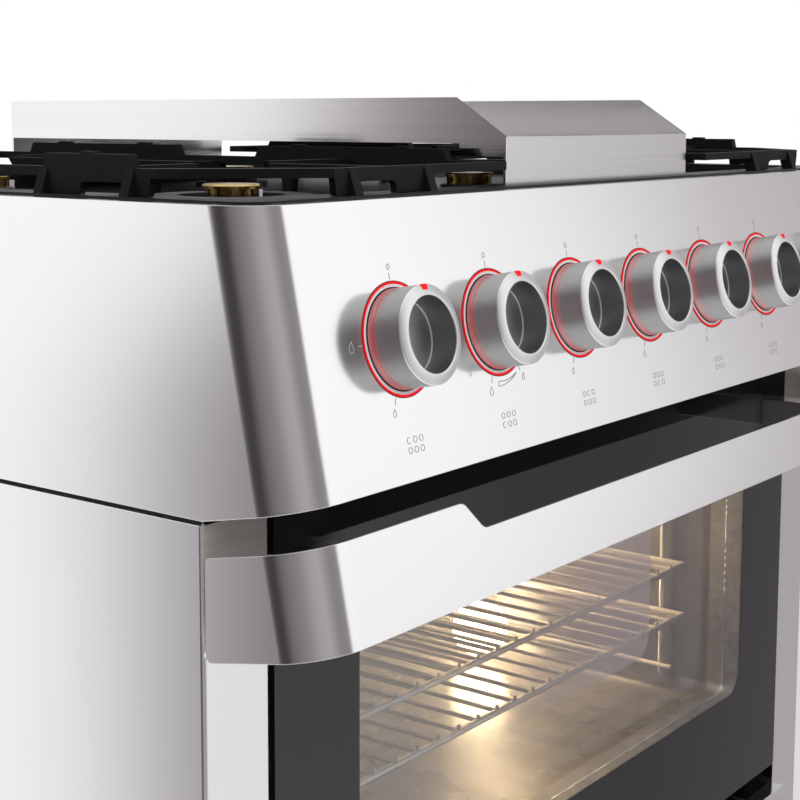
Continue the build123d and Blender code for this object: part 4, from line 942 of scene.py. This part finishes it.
def pointer(number):
    """Red trapezoid laid on the bead, a hair proud of it.

    It follows the bead's own profile. Across, x runs from side to side of a width that narrows inwards, and
    up = sqrt(r^2 - x^2).
    """
    radius, height = np.array(bead_profile()[POINTER_STRETCH]).T
    share = (radius[0] - radius) / (radius[0] - radius[-1])
    half = POINTER_OUTER - (POINTER_OUTER - POINTER_INNER) * share
    x = np.linspace(-1, 1, 9)[:, None] * half
    up = np.sqrt(np.maximum((radius + POINTER_H) ** 2 - x ** 2, 0))
    return grid(on_control(number, x, up, height + POINTER_H + 0 * x))


def rod(centre, radius, lift):
    """A short upright rod with a domed top: a profile of (radius, height) turned about a vertical axis."""
    profile = [(0.0, 0.0), (radius, 0.0)] + arc((0.0, lift - radius), (radius, radius), 0, 90, 5)
    r, height = np.array(profile).T
    angle = np.linspace(0, 2 * np.pi, PEG_STEPS, endpoint=False)[:, None]
    points = np.stack([r * np.cos(angle), r * np.sin(angle), height + 0 * angle], -1)
    return grid(np.array(centre) + points, wrap_u=True)


def rack_pegs():
    """Turned-up wire ends along both racks' front rails, one at each wire."""
    for level in ("lower", "upper"):
        low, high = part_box(f"oven_rack_{level}")
        rail = float(high[2] - low[2]) / 2
        places = np.linspace(low[0] + rail, high[0] - rail, RACK_WIRES + 2)[1:-1]
        spots = [(x, low[1] + rail, low[2] + rail) for x in places]
        pegs = joined([rod(spot, PEG_R, rail + PEG_H) for spot in spots])
        piece(f"rack_{level}_pegs", pegs, f"rack_{level}", "rack_chrome")


def bar(section, start, end):
    """A closed section of (x, z) points carried along Y, with both ends closed to its middle."""
    ring = np.array(section, float)
    middle = np.broadcast_to(ring.mean(0), ring.shape)
    rows = [(middle, start), (ring, start), (ring, end), (middle, end)]
    points = [np.stack([loop[:, 0], np.full(len(loop), y), loop[:, 1]], -1) for loop, y in rows]
    return grid(np.array(points), wrap_v=True)


def seam_shade_strips():
    """Black strips in the seams between fascia and side panels, as painted shade in the gaps: an oblong section
    carried along Y.
    """
    low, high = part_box("control_fascia")
    panel_low, panel_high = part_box("side_panel_left")
    upper = float(low[2]) - SEAM_OVER
    lower = float(low[2]) - SEAM_GAP + SEAM_UNDER
    shade_strips = []
    for side in (-1, 1):
        outer = side * (float(high[0]) - SEAM_IN)
        inner = side * (float(high[0]) - SEAM_DEEP)
        section = [(outer, lower), (outer, upper), (inner, upper), (inner, lower)]
        shade_strips.append(bar(section[::side], panel_low[1] + SEAM_END, panel_high[1] - SEAM_END))
    # Painted shade: dark rubber strips fill the seams' gaps.
    piece("seam_shade_strips", joined(shade_strips), "chassis", "seal_rubber")


def flat_ring(outer, inner, height):
    """Profile of a flat ring that stands on the fascia."""
    return [(outer, 0.0), (outer, height), (inner, height), (inner, 0.0)]


def round_controls(*profiles):
    """The same profiles turned about every control, as one surface."""
    return joined([turned(number, profile) for number in CONTROLS for profile in profiles])


def light_rings():
    """Red lit rings with a groove outside that is darkened as painted shadow, a pale bed inside, and a dark ring
    as painted shadow and a collar at the knob's foot.

    Each is a profile of (radius, height) turned about its control.
    """
    inner = GLOW_R - GLOW_W
    middle = (GLOW_R - GLOW_W / 2, GLOW_SHOULDER)
    glow = [
        (GLOW_R, 0.0),
        (GLOW_R, GLOW_SHOULDER),
        *arc(middle, (GLOW_W / 2, RING_H - GLOW_SHOULDER), 0, 180, 9),
        (inner, GLOW_SHOULDER),
        (inner, 0.0),
    ]
    collar = [
        (COLLAR_R, 0.0),
        (COLLAR_R, COLLAR_H / 3),
        (COLLAR_IN + COLLAR_TIP, COLLAR_H),
        (COLLAR_IN, COLLAR_H),
        (COLLAR_IN, 0.0),
    ]
    bed = flat_ring(inner, BED_R, BED_H)
    # Painted shadow: dark rubber rings at the knob's foot and outside the lit ring.
    foot_shade_ring = flat_ring(FOOT_SHADE_R, COLLAR_R, RING_H)
    groove = flat_ring(GLOW_R + GROOVE_W, GLOW_R, GROOVE_H)
    lit = piece("light_ring_glow", round_controls(glow), "chassis", "light_ring")
    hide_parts("light_rings")
    piece("light_ring_beds", round_controls(bed), "chassis", "ring_bed")
    piece("knob_collars", round_controls(collar), "chassis", "knob_steel")
    piece("light_ring_shade_rings", round_controls(foot_shade_ring, groove), "chassis", "seal_rubber")


def stroke(number, path, width=MARK_STROKE, closed=False):
    """A flat raised line along a path of (across, up) points: a shallow box section carried along it."""
    path = np.array(path, float)
    ahead = np.roll(path, -1, 0) - np.roll(path, 1, 0)
    if not closed:
        ahead[0] = path[1] - path[0]
        ahead[-1] = path[-1] - path[-2]
    ahead /= np.linalg.norm(ahead, axis=1)[:, None]
    side = np.stack([-ahead[:, 1], ahead[:, 0]], -1)
    across = np.array([-0.5, -0.5, 0.5, 0.5]) * width
    height = np.array([0.0, MARK_H, MARK_H, 0.0])
    x = path[:, :1] + side[:, :1] * across
    up = path[:, 1:] + side[:, 1:] * across
    return grid(on_control(number, x, up, height + 0 * x), wrap_u=closed)


def polar(turn, radius):
    """Point of a dial, turned anticlockwise from the top, in degrees."""
    angle = math.radians(turn)
    return np.array([-radius * math.sin(angle), radius * math.cos(angle)])


def ellipse(centre, wide, high):
    """Points of an ellipse: x = wide cos a, up = high sin a, from its centre."""
    angle = np.linspace(0, 2 * np.pi, 20, endpoint=False)
    return np.stack([centre[0] + wide * np.cos(angle), centre[1] + high * np.sin(angle)], -1)


def flame(centre, size):
    """Flame outline: x = w sin t sin(t/2) ^ FLAME_TAPER, up = h cos t, leaning aside towards its tip."""
    t = np.linspace(0, 2 * np.pi, 26, endpoint=False)
    up = np.cos(t)
    x = np.sin(t) * np.abs(np.sin(t / 2)) ** FLAME_TAPER + FLAME_LEAN * np.maximum(up, 0) ** 2
    return np.stack([centre[0] + size * FLAME_W * x, centre[1] + size * FLAME_H * up], -1)


def tick(number, turn):
    """Short line that points out from a control's ring."""
    return stroke(number, [polar(turn, TICK_IN), polar(turn, TICK_OUT)])


def flame_mark(number, turn, size):
    """A tick with a flame at its end."""
    centre = polar(turn, MARK_R + FLAME_OUT * size)
    return [tick(number, turn), stroke(number, flame(centre, size), FLAME_STROKE, True)]


def burner_dots(number):
    """Two rows of three small rings, with the knob's own burner as an open ring."""
    marks = []
    active = (number - 1) // 2, 1 - number % 2
    for column in range(3):
        for row in range(2):
            centre = np.array([(column - 1) * DOT_PITCH, -DOTS_DROP + (0.5 - row) * DOT_PITCH])
            if (column, row) == active:
                marks.append(stroke(number, arc(centre, (DOT_R, DOT_R), *DOT_OPEN, 15)))
            else:
                marks.append(stroke(number, ellipse(centre, DOT_R, DOT_R), closed=True))
    return marks


def ramp_mark(number):
    """Outline of a wedge bent round a dial: along one radius, then back at a radius that grows."""
    turns = np.linspace(*RAMP_SPAN, RAMP_STEPS)
    shares = np.linspace(RAMP_TIP, 1, RAMP_STEPS)
    foot = [polar(turn, RAMP_R) for turn in turns]
    back = [polar(turn, RAMP_R + RAMP_H * share) for turn, share in zip(turns[::-1], shares)]
    return stroke(number, foot + back, closed=True)


def dial_marks():
    """Marks round every dial: off, full and low flame, the dual burner's steps, and the oven's scale."""
    marks = []
    for number in CONTROLS:
        marks.append(stroke(number, ellipse(polar(0, MARK_R), ZERO_W, ZERO_H), closed=True))
        marks.append(tick(number, 0))
        if number == OVEN_CONTROL:
            marks += [tick(number, turn) for turn in OVEN_TICKS]
            continue
        marks += burner_dots(number)
        for turn, size in DUAL_MARKS if number == DUAL_CONTROL else FLAME_MARKS:
            marks += flame_mark(number, turn, size)
        if number == DUAL_CONTROL:
            marks.append(ramp_mark(number))
    piece("dial_marks", joined(marks), "chassis", "mark_grey")


def bearing(degrees):
    """A direction round the room as a share of the turn, where the rear is a half."""
    return 0.5 + degrees / 360.0


def studio():
    """White for the camera; steel sees walls of changing grey, shaded low down, and white sky and ground."""
    world = bpy.data.worlds.new("studio")
    bpy.context.scene.world = world
    tree = Tree(world)
    direction = tree.node("ShaderNodeTexCoord", output="Generated")
    x, y, z = tree.axes(direction)
    turn = x.math("ARCTAN2", y) * (0.5 / math.pi) + 0.5
    low_shift = LOW_SHIFT * (1.0 - z.above(*LOW_SHIFT_RISE))
    stops = [(bearing(degrees), lilac_grey(value)) for degrees, value in STUDIO_WALLS]
    walls = tree.node("ShaderNodeValToRGB", {"stops": stops}, (turn - low_shift,))
    ahead = turn.above(*map(bearing, AHEAD_FROM)) * (1.0 - z.above(*AHEAD_RISE))
    between = turn.above(*map(bearing, BELOW_FROM)) * (1.0 - turn.above(*map(bearing, BELOW_TO)))
    below = between * (1.0 - z.above(*BELOW_RISE))
    room = tree.colours(SHADE_AHEAD * ahead + SHADE_BELOW * below, walls, grey(0.0))
    room = tree.colours(z.above(*SKY_RISE), room, grey(1.0))
    room = tree.colours(z.above(*GROUND_RISE), grey(1.0), room)
    camera_ray = tree.node("ShaderNodeLightPath", output="Is Camera Ray")
    light = tree.node("ShaderNodeBackground", None, {0: tree.colours(camera_ray, room, grey(1.0)), 1: 1.0})
    tree.node("ShaderNodeOutputWorld", None, {"Surface": light})


def floor():
    """Pale floor, which steel looks past into the room: a square of one face."""
    x, y = np.meshgrid([-FLOOR_HALF, FLOOR_HALF], [-FLOOR_HALF, FLOOR_HALF], indexing="ij")
    vertices, faces, _ = grid(np.stack([x, y, 0 * x], -1))
    mesh = bpy.data.meshes.new("floor")
    mesh.from_pydata(vertices.tolist(), [], faces.tolist())

    def build(tree):
        pale = tree.node("ShaderNodeBsdfDiffuse", None, {"Color": grey(0.86)})
        clear = tree.node("ShaderNodeBsdfTransparent")
        seen = tree.node("ShaderNodeLightPath", output="Is Glossy Ray")
        return tree.shaders(seen, pale, clear)

    mesh.materials.append(finish("floor", build))
    made = bpy.data.objects.new("floor", mesh)
    bpy.context.scene.collection.objects.link(made)


def lamp(name, kind, place, energy, colour, size, aim):
    """One lamp; an area lamp is aimed at a point and isn't seen in steel."""
    data = bpy.data.lights.new(name, kind)
    data.energy = energy
    data.color = colour
    made = bpy.data.objects.new(name, data)
    made.location = place
    if kind == "AREA":
        data.size = size
        made.visible_glossy = False
        made.rotation_euler = (Vector(aim) - Vector(place)).to_track_quat("-Z", "Y").to_euler()
    else:
        data.shadow_soft_size = size
    bpy.context.scene.collection.objects.link(made)


def camera():
    """Camera of the photograph: pitched down from level, turned about Z, with a shifted lens."""
    data = bpy.data.cameras.new("camera")
    data.lens = CAMERA_LENS
    data.sensor_width = CAMERA_SENSOR
    data.shift_x, data.shift_y = CAMERA_SHIFT
    made = bpy.data.objects.new("camera", data)
    made.location = CAMERA_PLACE
    made.rotation_euler = (math.radians(90.0 - CAMERA_PITCH), 0.0, -math.radians(CAMERA_YAW))
    bpy.context.scene.collection.objects.link(made)
    bpy.context.scene.camera = made


bpy.context.scene.view_settings.view_transform = "Standard"
camera()
studio()
floor()
for lamp_name, lamp_settings in LAMPS.items():
    lamp(lamp_name, *lamp_settings)
dress_nodes()
knobs()
light_rings()
dial_marks()
rack_pegs()
seam_shade_strips()
